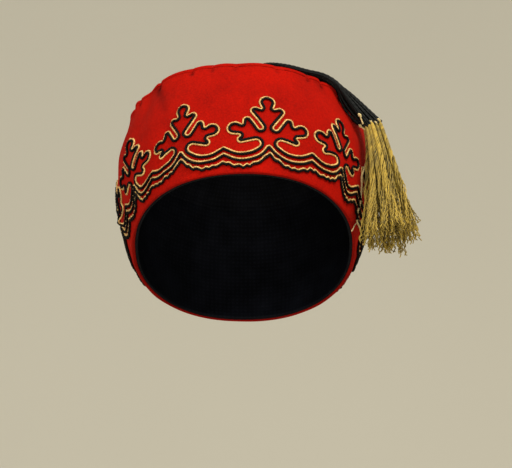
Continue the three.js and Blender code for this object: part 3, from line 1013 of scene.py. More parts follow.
@dataclass
class Lining:
    """The dark lining: a wall piece and a gathered roof, in soft folds, with a turned hem at the rim."""

    form: CapForm
    columns: int = 448
    wall_rows: int = 40
    roof_rows: int = 34
    pleat_count: int = 46
    pleat_wander: Wave = Wave(1.8, 5, 0.0, 0.0)
    soft_fold_count: int = 9
    soft_fold_lean: float = 5.0
    soft_fold_wander: Wave = Wave(1.3, 4, 0.0, 0.0)
    fold_depth: float = 0.9
    fold_least: float = 0.25
    soft_strength: float = 0.45
    pleat_fade_on_wall: float = 5.0
    pleat_fade_on_roof: float = 3.5
    roof_start: float = 0.99
    roof_bend: float = 0.7
    roof_end: float = 0.04
    roof_turn_over: float = 12.0
    hem_height: float = 6.0
    hem_step: float = 0.5
    finish: WovenCloth = WovenCloth(
        "dark_lining", roughness=0.7, sheen=0.0, specular=0.06, bump_height=0.08)

    def _inward(self, turn: Points, level: Points, share: Points) -> Points:
        """How far the cloth's folds stand inwards, for the wall where share is 1 and else for the roof.

        Args:
            turn: The turn.
            level: The level.
            share: 1 on the wall, and on the roof its share.

        Returns:
            The distance in millimetres.
        """
        pleat = (1 + np.sin(self.pleat_count * turn + self.pleat_wander.at(turn, level))) / 2
        bend = self.soft_fold_wander.at(turn, level)
        soft = (1 + np.sin(self.soft_fold_count * turn + self.soft_fold_lean * level + bend)) / 2
        near_seam = (np.exp(-np.abs(1 - level) * self.pleat_fade_on_wall)
                     * np.exp(-(1 - share) * self.pleat_fade_on_roof))
        hem = np.where(level * self.form.band_height < self.hem_height, self.hem_step, 0)
        folds = (1 - self.fold_least) * pleat * near_seam + self.soft_strength * soft * level
        return self.fold_depth * (self.fold_least + folds) + hem

    def build(self) -> None:
        """Makes the lining."""
        turns = np.linspace(-math.pi, math.pi, self.columns, endpoint=False)
        levels = np.linspace(0, 1, self.wall_rows)
        half = self.roof_rows // 2
        shares = np.concatenate([np.linspace(self.roof_start, self.roof_bend, half, endpoint=False),
                                 np.linspace(self.roof_bend, self.roof_end, half)])
        against = self.form.felt + self.form.clearance
        away = against + self.form.lining
        rows = []
        for level in levels:
            inset = away + self._inward(turns, np.full_like(turns, level), np.ones_like(turns))
            rows.append(self.form.wall(turns, np.full_like(turns, level), inset, False))
        for share in shares:
            lift = -(self.form.clearance + self.form.lining)
            fold = self._inward(turns, np.ones_like(turns), np.full_like(turns, share))
            row = self.form.crown(turns, np.full_like(turns, share), lift, False)
            inwards = np.minimum(1, (1 - share) * self.roof_turn_over)
            row[:, 2] -= fold * inwards
            row[:, :2] *= (1 - (fold * (1 - inwards) + away) * (1 - inwards)
                           / np.linalg.norm(row[:, :2], axis=1))[:, None]
            rows.append(row)
        back = [self.form.crown(turns, np.full_like(turns, share), -self.form.clearance, False)
                for share in (self.roof_end, *INNER_SHARES[::-1])]
        back += [self.form.wall(turns, np.full_like(turns, level), against, False) for level in INNER_LEVELS]
        run = np.array([*rows[::-1], *back[::-1]])
        piece = skinned("lining_cloth", run, False, self.finish.material())
        self._spread(piece.data, run)
        place(piece, Slot.LINING, "lining")

    def _spread(self, mesh: bpy.types.Mesh, rows: Points) -> None:
        """Gives the cloth a UV map in metres, along and across its rows.

        Args:
            mesh: The cloth's mesh.
            rows: Its rows of points.
        """
        count, width = rows.shape[:2]
        steps = np.linalg.norm(np.diff(rows, axis=0), axis=2).mean(1)
        down = np.concatenate([[0], np.cumsum(steps)]) * MM
        corner = np.empty(len(mesh.loops), dtype=np.int32)
        mesh.loops.foreach_get("vertex_index", corner)
        row, column = np.divmod(corner, width)
        row = np.minimum(row, count - 1)
        starts = np.empty(len(mesh.polygons), dtype=np.int32)
        mesh.polygons.foreach_get("loop_start", starts)
        sizes = np.empty(len(mesh.polygons), dtype=np.int32)
        mesh.polygons.foreach_get("loop_total", sizes)
        first = np.repeat(column[starts], sizes)
        beyond = np.abs(column - first) > width / 2
        wrapped = np.where(beyond, column + width * np.sign(first - column), column)
        round_length = FULL_TURN * self.form.rim_half_length * MM
        uv = np.stack([wrapped / width * round_length, down[row]], 1).astype(np.float32)
        mesh.uv_layers.new(name="cloth").data.foreach_set("uv", uv.ravel())


class Side(Enum):
    """Which side of the gold cord a bend's middle lies on: inside the leaf, or on the ground outside it."""

    LOBE = -1
    NOTCH = 1


@dataclass(frozen=True)
class Bend:
    """A circle that the gold cord bends round, in shares of the distance from one leaf to the next."""

    across: float
    up: float
    radius: float
    side: Side


@dataclass(frozen=True)
class Cord:
    """A twisted cord: its width, the length of its twist, and the step between its mesh's rings."""

    width: float
    twist: float
    step: float

    @property
    def sizes(self) -> dict[str, float]:
        """Its sizes by the names of the sweeping tree's inputs."""
        return {"Radius": self.width / 2 * MM, "Twist": self.twist * MM, "Step": self.step * MM}


@dataclass(frozen=True)
class Drift:
    """How far the hand-drawn pattern has drifted from an even one, at a place round the band.

    The place is in leaves from the first one. The lean and the stretch are added once per half height of the
    pattern above its middle, and all four are millimetres.
    """

    across: float
    aside: float
    lean: float
    up: float
    stretch: float


@dataclass
class SweptCord(GeometryTool):
    """The tree that sweeps a lobed, twisting section along each line, by the lines' attribute "out"."""

    lobes: int = 3
    points_per_lobe: int = 3
    groove: float = 0.24

    def __post_init__(self) -> None:
        """Builds the tree."""
        super().__init__("swept_cord", {"Radius": 0.75 * MM, "Twist": 4 * MM, "Step": 0.5 * MM})
        curve = self.node("GeometryNodeMeshToCurve", {}, {"Mesh": self.given("Lines")})
        even = self.node("GeometryNodeResampleCurve", {"mode": "LENGTH"},
                         {"Curve": curve, "Length": self.given("Step")})
        facing = self.node("GeometryNodeSetCurveNormal", {"mode": "FREE"},
                           {"Curve": even, "Normal": self.attribute("out", "FLOAT_VECTOR")})
        length = self.node("GeometryNodeSplineParameter", {}, {}, "Length")
        turned = self.node("GeometryNodeSetCurveTilt", {},
                           {"Curve": facing, "Tilt": length / self.given("Twist") * FULL_TURN})
        mesh = self.node("GeometryNodeCurveToMesh", {},
                         {"Curve": turned, "Profile Curve": self._section(), "Fill Caps": True})
        self.close(mesh)

    def _section(self) -> Value:
        """The cord's section: a circle that is drawn in between its plies.

        Returns:
            The section's curve.
        """
        points = self.lobes * self.points_per_lobe
        ring = self.node("GeometryNodeCurvePrimitiveCircle", {"mode": "RADIUS"},
                         {"Resolution": points, "Radius": self.given("Radius")}, "Curve")
        place_on_ring = self.node("GeometryNodeInputIndex") * (FULL_TURN / self.points_per_lobe)
        ripple = self.node("ShaderNodeMath", {"operation": "COSINE"}, {0: place_on_ring})
        scale = ripple * (self.groove / 2) + (1 - self.groove / 2)
        where = self.node("GeometryNodeInputPosition")
        drawn = self.node("ShaderNodeVectorMath", {"operation": "SCALE"}, {0: where, "Scale": scale})
        return self.node("GeometryNodeSetPosition", {}, {"Geometry": ring, "Position": drawn})


class CouchingStitches(GeometryTool):
    """The tree that lays a small thread over a cord at even steps along it."""

    least_slant = 0.4
    overlap = 0.35
    arc_points = 6
    thread_sides = 4

    def __init__(self) -> None:
        """Builds the tree."""
        super().__init__("couching_stitches", {"Cord Radius": 0.75 * MM, "Thread Radius": 0.16 * MM,
                                               "Apart": 4 * MM, "Slant": 0.5, "Seed": 3})
        curve = self.node("GeometryNodeMeshToCurve", {}, {"Mesh": self.given("Lines")})
        even = self.node("GeometryNodeResampleCurve", {"mode": "LENGTH"},
                         {"Curve": curve, "Length": self.given("Apart")})
        slant = self.node("FunctionNodeRandomValue", {"data_type": "FLOAT"},
                          {"Min": self.least_slant, "Max": 1.0, "Seed": self.given("Seed")}, "Value_001")
        spin = self.node("ShaderNodeCombineXYZ", {}, {2: slant * self.given("Slant")})
        facing = self.node("FunctionNodeAxesToRotation", {"primary_axis": "Z", "secondary_axis": "X"}, {
            "Primary Axis": self.attribute("out", "FLOAT_VECTOR"),
            "Secondary Axis": self.node("GeometryNodeInputTangent"),
        })
        turned = self.node("FunctionNodeRotateRotation", {"rotation_space": "LOCAL"},
                           {"Rotation": facing, "Rotate By": spin})
        laid = self.node("GeometryNodeInstanceOnPoints", {},
                         {"Points": even, "Instance": self._stitch(), "Rotation": turned})
        self.close(laid)

    def _stitch(self) -> Value:
        """One stitch: half a ring of thread over the cord.

        Returns:
            The stitch's mesh.
        """
        reach = self.given("Cord Radius") + self.given("Thread Radius")
        arc = self.node("GeometryNodeCurveArc", {"mode": "RADIUS"}, {
            "Resolution": self.arc_points,
            "Radius": reach,
            "Start Angle": -self.overlap,
            "Sweep Angle": math.pi + 2 * self.overlap,
        }, "Curve")
        ring = self.node("GeometryNodeCurvePrimitiveCircle", {"mode": "RADIUS"},
                         {"Resolution": self.thread_sides, "Radius": self.given("Thread Radius")}, "Curve")
        thread = self.node("GeometryNodeCurveToMesh", {},
                           {"Curve": arc, "Profile Curve": ring, "Fill Caps": True})
        return self.node("GeometryNodeTransform", {},
                         {"Geometry": thread, "Rotation": (math.pi / 2, 0.0, math.pi / 2)})


@dataclass
class CouchedPattern:
    """Three lines of twin cord sewn round the band: leaves, plain scallops and crinkled scallops."""

    form: CapForm
    motif_count: int = 10
    motif_turn: float = 10.0
    pattern_level: float = 0.45
    gold: Cord = Cord(width=1.2, twist=5.4, step=0.5)
    black: Cord = Cord(width=1.9, twist=6.0, step=0.62)
    sink: float = 0.12
    crinkle_count: int = 11
    crinkle_depth: float = 1.5
    loose_lift: float = 3.2
    loose_reach: float = 3.2
    loose_place: tuple[float, float, float] = (-3, 0.08, 0.38)
    stitch_spacing: float = 4.4
    spacing: float = 0.4
    length_steps: int = 720
    hand: float = 0.15
    hand_height: float = 7.0
    hand_sideways: tuple[Wave, ...] = (Wave(1.0, 17, 1.0, 0.0), Wave(0.6, 41, -1.7, 2.0))
    hand_upwards: tuple[Wave, ...] = (Wave(1.0, 13, -0.8, 1.0), Wave(0.6, 37, 1.3, 4.0))
    crinkle_wander: Wave = Wave(0.9, 0.37, 0.0, 0.0)
    crinkle_swell: Wave = Wave(0.25, 0.23, 0.0, 0.0)
    leaf: tuple[Bend, ...] = (
        Bend(0, 0.942, 0.0875, Side.LOBE),
        Bend(0.076, 0.856, 0.0135, Side.NOTCH),
        Bend(0.14, 0.817, 0.0488, Side.LOBE),
        Bend(0.085, 0.584, 0.032, Side.NOTCH),
        Bend(0.234, 0.68, 0.0471, Side.LOBE),
        Bend(0.298, 0.643, 0.0135, Side.NOTCH),
        Bend(0.377, 0.582, 0.0807, Side.LOBE),
        Bend(0.33, 0.476, 0.0151, Side.NOTCH),
        Bend(0.306, 0.421, 0.0404, Side.LOBE),
        Bend(0.145, 0.37, 0.0521, Side.NOTCH),
        Bend(0.291, 0.474, 0.2254, Side.NOTCH),
        Bend(0.5, 0.294, 0.0387, Side.LOBE),
    )
    middle: tuple[Bend, ...] = (
        Bend(0, 0.31, 0.0336, Side.LOBE),
        Bend(0.286, 0.451, 0.2826, Side.NOTCH),
        Bend(0.5, 0.214, 0.0336, Side.LOBE),
    )
    lower: tuple[Bend, ...] = (
        Bend(0, 0.214, 0.032, Side.LOBE),
        Bend(0.294, 0.386, 0.3028, Side.NOTCH),
        Bend(0.5, 0.106, 0.0336, Side.LOBE),
    )
    drifts: tuple[Drift, ...] = (
        Drift(-3.5, 0.0, 0.0, 0.0, 0.0),
        Drift(-3, 8.0, -4.0, -1.5, -1.5),
        Drift(-2.5, 11.0, -5.0, -3.0, -3.4),
        Drift(-2.25, 9.7, -4.5, -3.2, -3.8),
        Drift(-2, 7.8, -3.2, -3.6, -4.4),
        Drift(-1.75, 8.7, 7.4, -6.7, -7.6),
        Drift(-1.5, 6.5, 5.4, -6.8, -7.5),
        Drift(-1.25, 3.4, 3.9, -3.0, -6.4),
        Drift(-1, 0.1, 1.2, -1.6, -4.2),
        Drift(-0.75, -0.4, 0.3, -2.6, -3.3),
        Drift(-0.5, -0.8, -0.2, -2.9, -2.8),
        Drift(-0.25, -1.0, -0.6, -2.2, -2.4),
        Drift(0, -1.6, -1.0, -1.6, -1.9),
        Drift(0.25, -1.7, -1.2, -1.0, -2.4),
        Drift(0.5, -1.2, -1.5, 0.2, -2.7),
        Drift(0.75, -1.1, -1.4, 1.6, -3.7),
        Drift(1, -3.6, -1.2, -0.6, -4.4),
        Drift(1.25, -7.9, -1.0, -2.6, -4.8),
        Drift(1.5, -8.6, -0.7, -0.4, -4.6),
        Drift(2.25, 0.0, 0.0, 0.0, 0.0),
    )
    gold_finish: SpunThread = SpunThread(
        "gold_cord", roughness=0.42, sheen=0.1, specular=0.4, bump_height=0.06, cloud=2.2, contrast=1.8,
        light=colour(240, 194, 112), dark=colour(124, 82, 24))
    black_finish: SpunThread = SpunThread(
        "black_cord", roughness=0.6, sheen=0.0, specular=0.08, bump_height=0.06,
        light=colour(13, 9, 8), dark=colour(3, 2, 2))

    @cached_property
    def lengths(self) -> tuple[Points, Points]:
        """Turns from the front, and the lengths round the band to them.

        Returns:
            The turns and the lengths.
        """
        turns = np.linspace(0, FULL_TURN, self.length_steps + 1)
        plan = self.form.band_plan(np.full_like(turns, self.pattern_level))
        ring = around(turns, self.form.plan_radius(turns, *plan), 0.0)
        steps = np.linalg.norm(np.diff(ring, axis=0), axis=1)
        return turns, np.concatenate([[0], np.cumsum(steps)])

    @property
    def pitch(self) -> float:
        """The distance from one leaf to the next."""
        return self.lengths[1][-1] / self.motif_count

    def flat_motif(self, bends: tuple[Bend, ...], aside: float) -> Points:
        """One motif of a line on the flattened band, from one hump to the next.

        Args:
            bends: Half of the motif.
            aside: How far to the right of the gold cord's line, seen along it.

        Returns:
            Points across and up, in millimetres.
        """
        mirrored = [replace(bend, across=-bend.across) for bend in bends[:0:-1]]
        circles = [*mirrored, *bends]
        centres = np.array([(bend.across, bend.up) for bend in circles]) * self.pitch
        signed = np.array([bend.radius * bend.side.value for bend in circles]) * self.pitch
        steps = np.diff(centres, axis=0)
        tilt = np.arcsin(np.clip(np.diff(signed) / np.hypot(*steps.T), -1, 1))
        headings = np.arctan2(steps[:, 1], steps[:, 0]) - tilt
        points = []
        for i, leaving in enumerate(headings):
            arriving = 0.0 if i == 0 else headings[i - 1]
            turns = (leaving - arriving) / FULL_TURN
            whole = math.floor(turns) if signed[i] > 0 else math.ceil(turns)
            sweep = (turns - whole) * FULL_TURN
            count = max(2, math.ceil(abs(sweep * (signed[i] + aside)) / self.spacing) + 1)
            heading = arriving + sweep * np.linspace(0, 1, count)
            spoke = np.stack([np.sin(heading), -np.cos(heading)], 1)
            points.append(centres[i] + spoke * (signed[i] + aside))
        return np.vstack(points)

    def _flat_line(self, bends: tuple[Bend, ...], aside: float, crinkled: bool) -> Points:
        """A whole line round the band, evenly spaced, with a hand's unevenness and its crinkles.

        Args:
            bends: Half of the line's motif.
            aside: How far to the right of the gold cord's line, seen along it.
            crinkled: Whether the cord is crinkled.

        Returns:
            Points across and up, in millimetres.
        """
        motif = self.flat_motif(bends, aside)
        starts = np.arange(self.motif_count) * self.pitch
        whole = np.vstack([motif + (start, 0) for start in starts])
        ring = np.vstack([whole, whole[0] + (self.pitch * self.motif_count, 0)])
        far = np.concatenate([[0], np.cumsum(np.hypot(*np.diff(ring, axis=0).T))])
        count = round(far[-1] / self.spacing)
        places = np.linspace(0, far[-1], count, endpoint=False)
        even = np.stack([np.interp(places, far, ring[:, 0]), np.interp(places, far, ring[:, 1])], 1)
        if crinkled:
            wave = even[:, 0] / self.pitch * self.crinkle_count * FULL_TURN
            swing = self.crinkle_depth / 2 * np.sin(wave + self.crinkle_wander.at(wave, 0.0))
            even[:, 1] += swing * (1 - self.crinkle_swell.height + self.crinkle_swell.at(wave, 0.0))
        return even

    def _hand_wander(self, flat: Points) -> Points:
        """How far the hand that drew the pattern strayed, the same for cords side by side.

        Args:
            flat: Points of the flattened pattern.

        Returns:
            The strays across and up.
        """
        across = flat[:, 0] / (self.pitch * self.motif_count) * FULL_TURN
        up = flat[:, 1] / self.hand_height
        sideways = sum(wave.at(across, up) for wave in self.hand_sideways)
        upwards = sum(wave.at(across, up) for wave in self.hand_upwards)
        return self.hand * np.stack([sideways, upwards], 1)

    def drifted(self, flat: Points) -> Points:
        """Where the hand that drew the pattern put the points of an even one.

        Args:
            flat: Points of the even, flattened pattern.

        Returns:
            The points after the drift.
        """
        half = self.motif_count / 2
        across = np.mod(flat[:, 0] / self.pitch + half, self.motif_count) - half
        middle = self.pattern_level * self.form.band_height
        above = (flat[:, 1] - middle) / middle
        table = np.array([(row.across, row.aside, row.lean, row.up, row.stretch) for row in self.drifts])
        aside, lean, up, stretch = (np.interp(across, table[:, 0], column) for column in table[:, 1:].T)
        drift = np.stack([aside + lean * above, up + stretch * above], 1)
        return flat + drift + self._hand_wander(flat)

    def on_band(self, flat: Points, lift: Points) -> tuple[Points, Points]:
        """Where points of the flattened pattern lie on the band.

        Args:
            flat: Points across, from the first motif's middle, and up.
            lift: How far off the felt they are.

        Returns:
            The points and the directions straight off the felt.
        """
        turns, lengths = self.lengths
        start = np.interp(math.radians(self.motif_turn), turns, lengths)
        turn = np.interp(np.mod(start + flat[:, 0], lengths[-1]), lengths, turns)
        level = flat[:, 1] / self.form.band_height
        out = self.form.outward(turn, level)
        return self.form.wall(turn, level) + out * lift[:, None], out

    def stand_off(self, flat: Points) -> Points:
        """How far the cords stand off the felt, where their stitches have given way.

        Args:
            flat: Points of the flattened pattern.

        Returns:
            The distance off the felt.
        """
        leaf, across, up = self.loose_place
        total = self.pitch * self.motif_count
        apart = flat[:, 0] - (leaf + across) * self.pitch
        apart = apart - total * np.round(apart / total)
        away = np.hypot(apart, flat[:, 1] - up * self.pitch) / self.loose_reach
        return self.loose_lift * np.exp(-(away ** 2))

    def build(self) -> None:
        """Makes the cords and their stitches."""
        gold = self.gold_finish.material()
        black = self.black_finish.material()
        sweep = SweptCord()
        couch = CouchingStitches()
        aside = (self.gold.width + self.black.width) / 2
        for name, bends, crinkled in (("leaf", self.leaf, False), ("middle", self.middle, False),
                                      ("lower", self.lower, True)):
            for shade, cord, offset, finish, slot in (
                    ("gold", self.gold, 0.0, gold, Slot.GOLD_CORD),
                    ("black", self.black, aside, black, Slot.BLACK_SILK)):
                flat = self._flat_line(bends, offset, crinkled)
                lift = self.stand_off(flat) + cord.width / 2 - self.sink
                points, out = self.on_band(self.drifted(flat), lift)
                lines = line_object(f"{shade}_{name}_cord", [points], True, {"out": [out]})
                sweep.run(lines, cord.sizes, finish)
                place(lines, slot, f"{name}_braid")
                if shade == "gold":
                    stitched = line_object(f"{name}_stitches", [points], True, {"out": [out]})
                    couch.run(stitched, {"Cord Radius": cord.sizes["Radius"],
                                         "Apart": self.stitch_spacing * MM}, gold)
                    place(stitched, slot)


@dataclass(frozen=True)
class SkeinStop:
    """A place on the skein's way: its turn, its share on the crown, and its section's two sizes."""

    turn: float
    share: float
    wide: float
    thick: float


@dataclass
class Skein:
    """The black silk skein from the crown button over the seam to the tassel's head."""

    form: CapForm
    width: float = 18.0
    thickness: float = 13.0
    seat: float = 0.5
    button_radius: float = 10.0
    button_height: float = 6.0
    braid_height: float = 1.5
    tassel_turn: float = 60.5
    tassel_level: float = 0.79
    stops: tuple[SkeinStop, ...] = (
        SkeinStop(21, 0.32, 0.75, 0.5),
        SkeinStop(21, 0.55, 0.8, 0.42),
        SkeinStop(28, 0.73, 0.9, 0.36),
        SkeinStop(36, 0.84, 1.0, 0.4),
        SkeinStop(42, 0.93, 1.2, 0.42),
    )
    at_button: SkeinStop = SkeinStop(21, 0.0, 0.7, 0.62)
    at_seam: SkeinStop = SkeinStop(48.6, 1.0, 1.36, 0.46)
    button_gap: float = 0.9
    hang_gap: float = 0.6
    wall_sag: float = 4.0
    end_slant: float = 2.6
    outer_cords: int = 26
    inner_cords: int = 12
    inner_reach: float = 0.45
    cord_points: int = 60
    cord_wander: Wave = Wave(0.25, 3, 1.0, 0.0)
    cord_sag: Wave = Wave(0.35, 9, 1.7, 0.0)
    least_room: float = 0.4
    share_step: float = 1e-4
    button_wraps: int = 44
    columns_per_wrap: int = 4
    wrap_ridge: float = 0.22
    wrap_lean: float = 2.5
    wrap_inset: float = 0.1
    button_profile: tuple[tuple[float, float], ...] = (
        (0.9, 0.0), (1.0, 0.12), (1.0, 0.35), (0.95, 0.6), (0.82, 0.8), (0.6, 0.93), (0.35, 0.99),
        (0.12, 1.0), (0.05, 0.94))
    cord: Cord = Cord(width=1.7, twist=11.0, step=1.3)
    finish: SpunThread = SpunThread(
        "black_silk", roughness=0.45, sheen=0.0, specular=0.12, bump_height=0.06,
        light=colour(14, 17, 15), dark=colour(3, 4, 4))

    def _crown_seat(self, turn: float, share: float) -> tuple[Points, Points]:
        """The crown's outer face at a place, and the direction straight off it.

        Args:
            turn: The turn.
            share: The share on the crown.

        Returns:
            The point and the direction.
        """
        here = self.form.crown(turn, share, self.form.felt, False)
        along_turn = self.form.crown(turn + NUDGE, share, self.form.felt, False) - here
        along_share = self.form.crown(turn, share - NUDGE, self.form.felt, False) - here
        return here, unit(np.cross(along_turn, along_share))

    @cached_property
    def outwards(self) -> Points:
        """The direction from the axis to the tassel."""
        return around(math.radians(self.tassel_turn), 1.0, 0.0)

    @cached_property
    def sidewards(self) -> Points:
        """The direction across the tassel, away from the front."""
        turn = math.radians(self.tassel_turn)
        return np.array([math.cos(turn), math.sin(turn), 0.0])

    @cached_property
    def hang_radius(self) -> float:
        """How far from the axis the tassel's inner side hangs.

        Returns:
            The distance in millimetres.
        """
        widest = self.form.plan_radius(math.radians(self.tassel_turn), self.form.widest_half_width,
                                       self.form.widest_half_length)
        return float(widest) + self.braid_height + self.hang_gap

    @cached_property
    def tassel_top(self) -> Points:
        """Where the skein ends and the tassel's head starts."""
        return around(math.radians(self.tassel_turn), self.hang_radius + self.thickness / 2,
                      self.tassel_level * self.form.band_height)

    @cached_property
    def stations(self) -> tuple[Points, Points, Points]:
        """The skein's middle points, the directions off the felt there, and its widths and thicknesses.

        Returns:
            The points, the directions, and the half widths and half thicknesses.
        """
        start = math.radians(self.at_button.turn)
        edge = float(self.form.plan_radius(start, self.form.seam_half_width, self.form.seam_half_length))
        first = replace(self.at_button, share=(self.button_radius + self.button_gap) / edge)
        points, offs, sizes = [], [], []
        for stop in (first, *self.stops):
            here, off = self._crown_seat(math.radians(stop.turn), stop.share)
            gathers = self.form.gather_depth * float(self.form.seam_nearness(stop.share))
            points.append(here + off * (self.seat + gathers + stop.thick * self.thickness / 2))
            offs.append(off)
            sizes.append((stop.wide, stop.thick))
        seam_turn = math.radians(self.at_seam.turn)
        off = unit(around(seam_turn, 1.0, 0.0) + (0, 0, 1))
        points.append(self.form.crown(seam_turn, 1.0, self.form.felt, True)
                      + off * (self.seat + self.at_seam.thick * self.thickness / 2))
        offs.append(off)
        sizes.append((self.at_seam.wide, self.at_seam.thick))
        points.append(self.tassel_top)
        offs.append(self.outwards)
        sizes.append((1.0, 1.0))
        half = np.array(sizes) * (self.width / 2, self.thickness / 2)
        return np.array(points), np.array(offs), half

    def middle_at(self, share: float) -> Points:
        """A point of the skein's middle line, a centripetal curve through its stations.

        Args:
            share: From 0 at the button to 1 at the tassel.

        Returns:
            The point.
        """
        points = self.stations[0]
        place_on = min(max(share, 0.0), 1.0) * (len(points) - 1)
        i = min(int(place_on), len(points) - 2)
        p1, p2 = points[i], points[i + 1]
        p0 = points[i - 1] if i > 0 else 2 * p1 - p2
        p3 = points[i + 2] if i + 2 < len(points) else 2 * p2 - p1
        t0, t1, t2 = (math.sqrt(np.linalg.norm(b - a)) for a, b in ((p0, p1), (p1, p2), (p2, p3)))
        start = ((p1 - p0) / t0 - (p2 - p0) / (t0 + t1) + (p2 - p1) / t1) * t1
        end = ((p2 - p1) / t1 - (p3 - p1) / (t1 + t2) + (p3 - p2) / t2) * t1
        s = place_on - i
        return (p1 + start * s + (3 * (p2 - p1) - 2 * start - end) * s ** 2
                + (2 * (p1 - p2) + start + end) * s ** 3)

    def section_at(self, share: float) -> tuple[Points, Points, Points, Points, Points]:
        """The skein's section at a share of its way.

        Args:
            share: From 0 at the button to 1 at the tassel.

        Returns:
            Its middle, the directions along, sideways and off the felt, and its half width and thickness.
        """
        points, offs, half = self.stations
        place_on = share * (len(points) - 1)
        i = min(int(place_on), len(points) - 2)
        along = unit(self.middle_at(share + self.share_step) - self.middle_at(share - self.share_step))
        off = offs[i] + (offs[i + 1] - offs[i]) * (place_on - i)
        side = unit(np.cross(along, off))
        size = half[i] + (half[i + 1] - half[i]) * (place_on - i)
        return self.middle_at(share), along, side, np.cross(side, along), size

    def build(self) -> None:
        """Makes the skein and the button."""
        silk = self.finish.material()
        shares = np.linspace(0, 1, self.cord_points)
        sections = [self.section_at(share) for share in shares]
        last = len(self.stations[0]) - 1
        lines, outs = [], []
        spots = [(1.0, (i + 0.5) / self.outer_cords) for i in range(self.outer_cords)]
        spots += [(self.inner_reach, i / self.inner_cords) for i in range(self.inner_cords)]
        for number, (reach, share_round) in enumerate(spots):
            points, directions = [], []
            for share, (middle, along, side, off, size) in zip(shares, sections):
                angle = FULL_TURN * share_round + self.cord_wander.at(share, number)
                room = np.maximum(size - self.cord.width / 2, self.least_room)
                sag = self.cord_sag.at(share, number)
                across = side * math.cos(angle) * room[0] + off * math.sin(angle) * room[1]
                past_seam = max(0.0, share * last - last + 1)
                inwards = self.wall_sag * math.sin(math.pi * past_seam) * max(0.0, -math.sin(angle))
                slant = self.end_slant * math.sin(angle) * reach * past_seam ** 2
                points.append(middle + reach * across + sag * side * reach - off * inwards + along * slant)
                directions.append(unit(side * math.cos(angle) + off * math.sin(angle) + TINY))
            lines.append(np.array(points))
            outs.append(np.array(directions))
        skein = line_object("skein_cords", lines, False, {"out": outs})
        SweptCord().run(skein, self.cord.sizes, silk)
        place(skein, Slot.BLACK_SILK, "tassel_skein")
        place(self._button(silk), Slot.BLACK_SILK, "crown_button")

    def _button(self, silk: bpy.types.Material) -> bpy.types.Object:
        """The button, a low dome wrapped in thread from its middle to its edge.

        Args:
            silk: Its material.

        Returns:
            The object.
        """
        turns = np.linspace(0, FULL_TURN, self.button_wraps * self.columns_per_wrap, endpoint=False)
        rows = []
        for reach, rise in self.button_profile:
            wrap = np.abs(np.sin(turns * self.button_wraps / 2 + self.wrap_lean * rise))
            ridge = self.wrap_ridge * wrap * reach
            rows.append(around(turns, reach * self.button_radius + ridge * (1 - rise) - self.wrap_inset,
                               self.form.seat_of_button + rise * self.button_height + ridge * rise))
        return skinned("silk_button", np.array(rows), False, silk)


class CrinkledThreads(GeometryTool):
    """The tree that sweeps a thin thread along each line, crinkled as unravelled yarn is.

    The crinkle is slight at the root, grows along the thread and flares at its end.
    """

    root_crinkle = 0.12
    growth, growth_power = 0.9, 3.0
    flare, flare_power = 0.35, 16.0
    stretches = (0.8, 1.3)
    side_pace = 1.13
    height_pace, height_share = 0.5, 0.4

    def __init__(self) -> None:
        """Builds the tree."""
        super().__init__("crinkled_threads", {"Radius": 0.36 * MM, "Step": 1.3 * MM, "Crinkle": 0.5 * MM,
                                              "Wave": 4.6 * MM, "Sides": 4, "Seed": 7})
        curve = self.node("GeometryNodeMeshToCurve", {}, {"Mesh": self.given("Lines")})
        even = self.node("GeometryNodeResampleCurve", {"mode": "LENGTH"},
                         {"Curve": curve, "Length": self.given("Step")})
        factor = self.node("GeometryNodeSplineParameter", {}, {}, "Factor")
        length = self.node("GeometryNodeSplineParameter", {}, {}, "Length")
        phase = self._by_thread(0.0, FULL_TURN, self.given("Seed"))
        stretch = self._by_thread(*self.stretches, self.given("Seed") + 1)
        angle = length / (self.given("Wave") * stretch) * FULL_TURN + phase
        grown = factor ** self.growth_power * self.growth + factor ** self.flare_power * self.flare
        reach = self.given("Crinkle") * (grown + self.root_crinkle)
        swing = self.node("ShaderNodeCombineXYZ", {}, {
            0: self._beat("COSINE", angle) * reach,
            1: self._beat("SINE", angle * self.side_pace) * reach,
            2: self._beat("SINE", angle * self.height_pace) * reach * self.height_share,
        })
        moved = self.node("GeometryNodeSetPosition", {}, {"Geometry": even, "Offset": swing})
        ring = self.node("GeometryNodeCurvePrimitiveCircle", {"mode": "RADIUS"},
                         {"Resolution": self.given("Sides"), "Radius": self.given("Radius")}, "Curve")
        self.close(self.node("GeometryNodeCurveToMesh", {},
                             {"Curve": moved, "Profile Curve": ring, "Fill Caps": True}))

    def _by_thread(self, low: float, high: float, seed: Value) -> Value:
        """A random number of each thread's own, between low and high."""
        return self.node("FunctionNodeRandomValue", {"data_type": "FLOAT"}, {
            "Min": low, "Max": high, "ID": self.attribute("thread"), "Seed": seed}, "Value_001")

    def _beat(self, operation: str, angle: Value) -> Value:
        """The angle's sine or cosine."""
        return self.node("ShaderNodeMath", {"operation": operation}, {0: angle})


class ThreadBundle:
    """Single gold threads that are gathered and then swept as one piece."""

    def __init__(self) -> None:
        """Starts an empty bundle."""
        self.lines: list[Points] = []
        self.tones: list[Points] = []

    def add(self, line: Points, tone: Points) -> None:
        """Adds a thread, with how light it is at each of its points."""
        self.lines.append(line)
        self.tones.append(tone)

    def sweep(self, name: str, crinkle: CrinkledThreads, sizes: dict[str, float],
              finish: bpy.types.Material, *nodes: str) -> None:
        """Sweeps the threads and puts the piece in its place.

        Args:
            name: The piece's name.
            crinkle: The tree that sweeps them.
            sizes: The tree's inputs that differ from their usual values.
            finish: The material.
            nodes: The solids that it stands for.
        """
        numbers = [np.full(len(line), float(number)) for number, line in enumerate(self.lines)]
        piece = line_object(name, self.lines, False, {"tone": self.tones, "thread": numbers})
        crinkle.run(piece, sizes, finish)
        place(piece, Slot.GOLD_THREAD, *nodes)


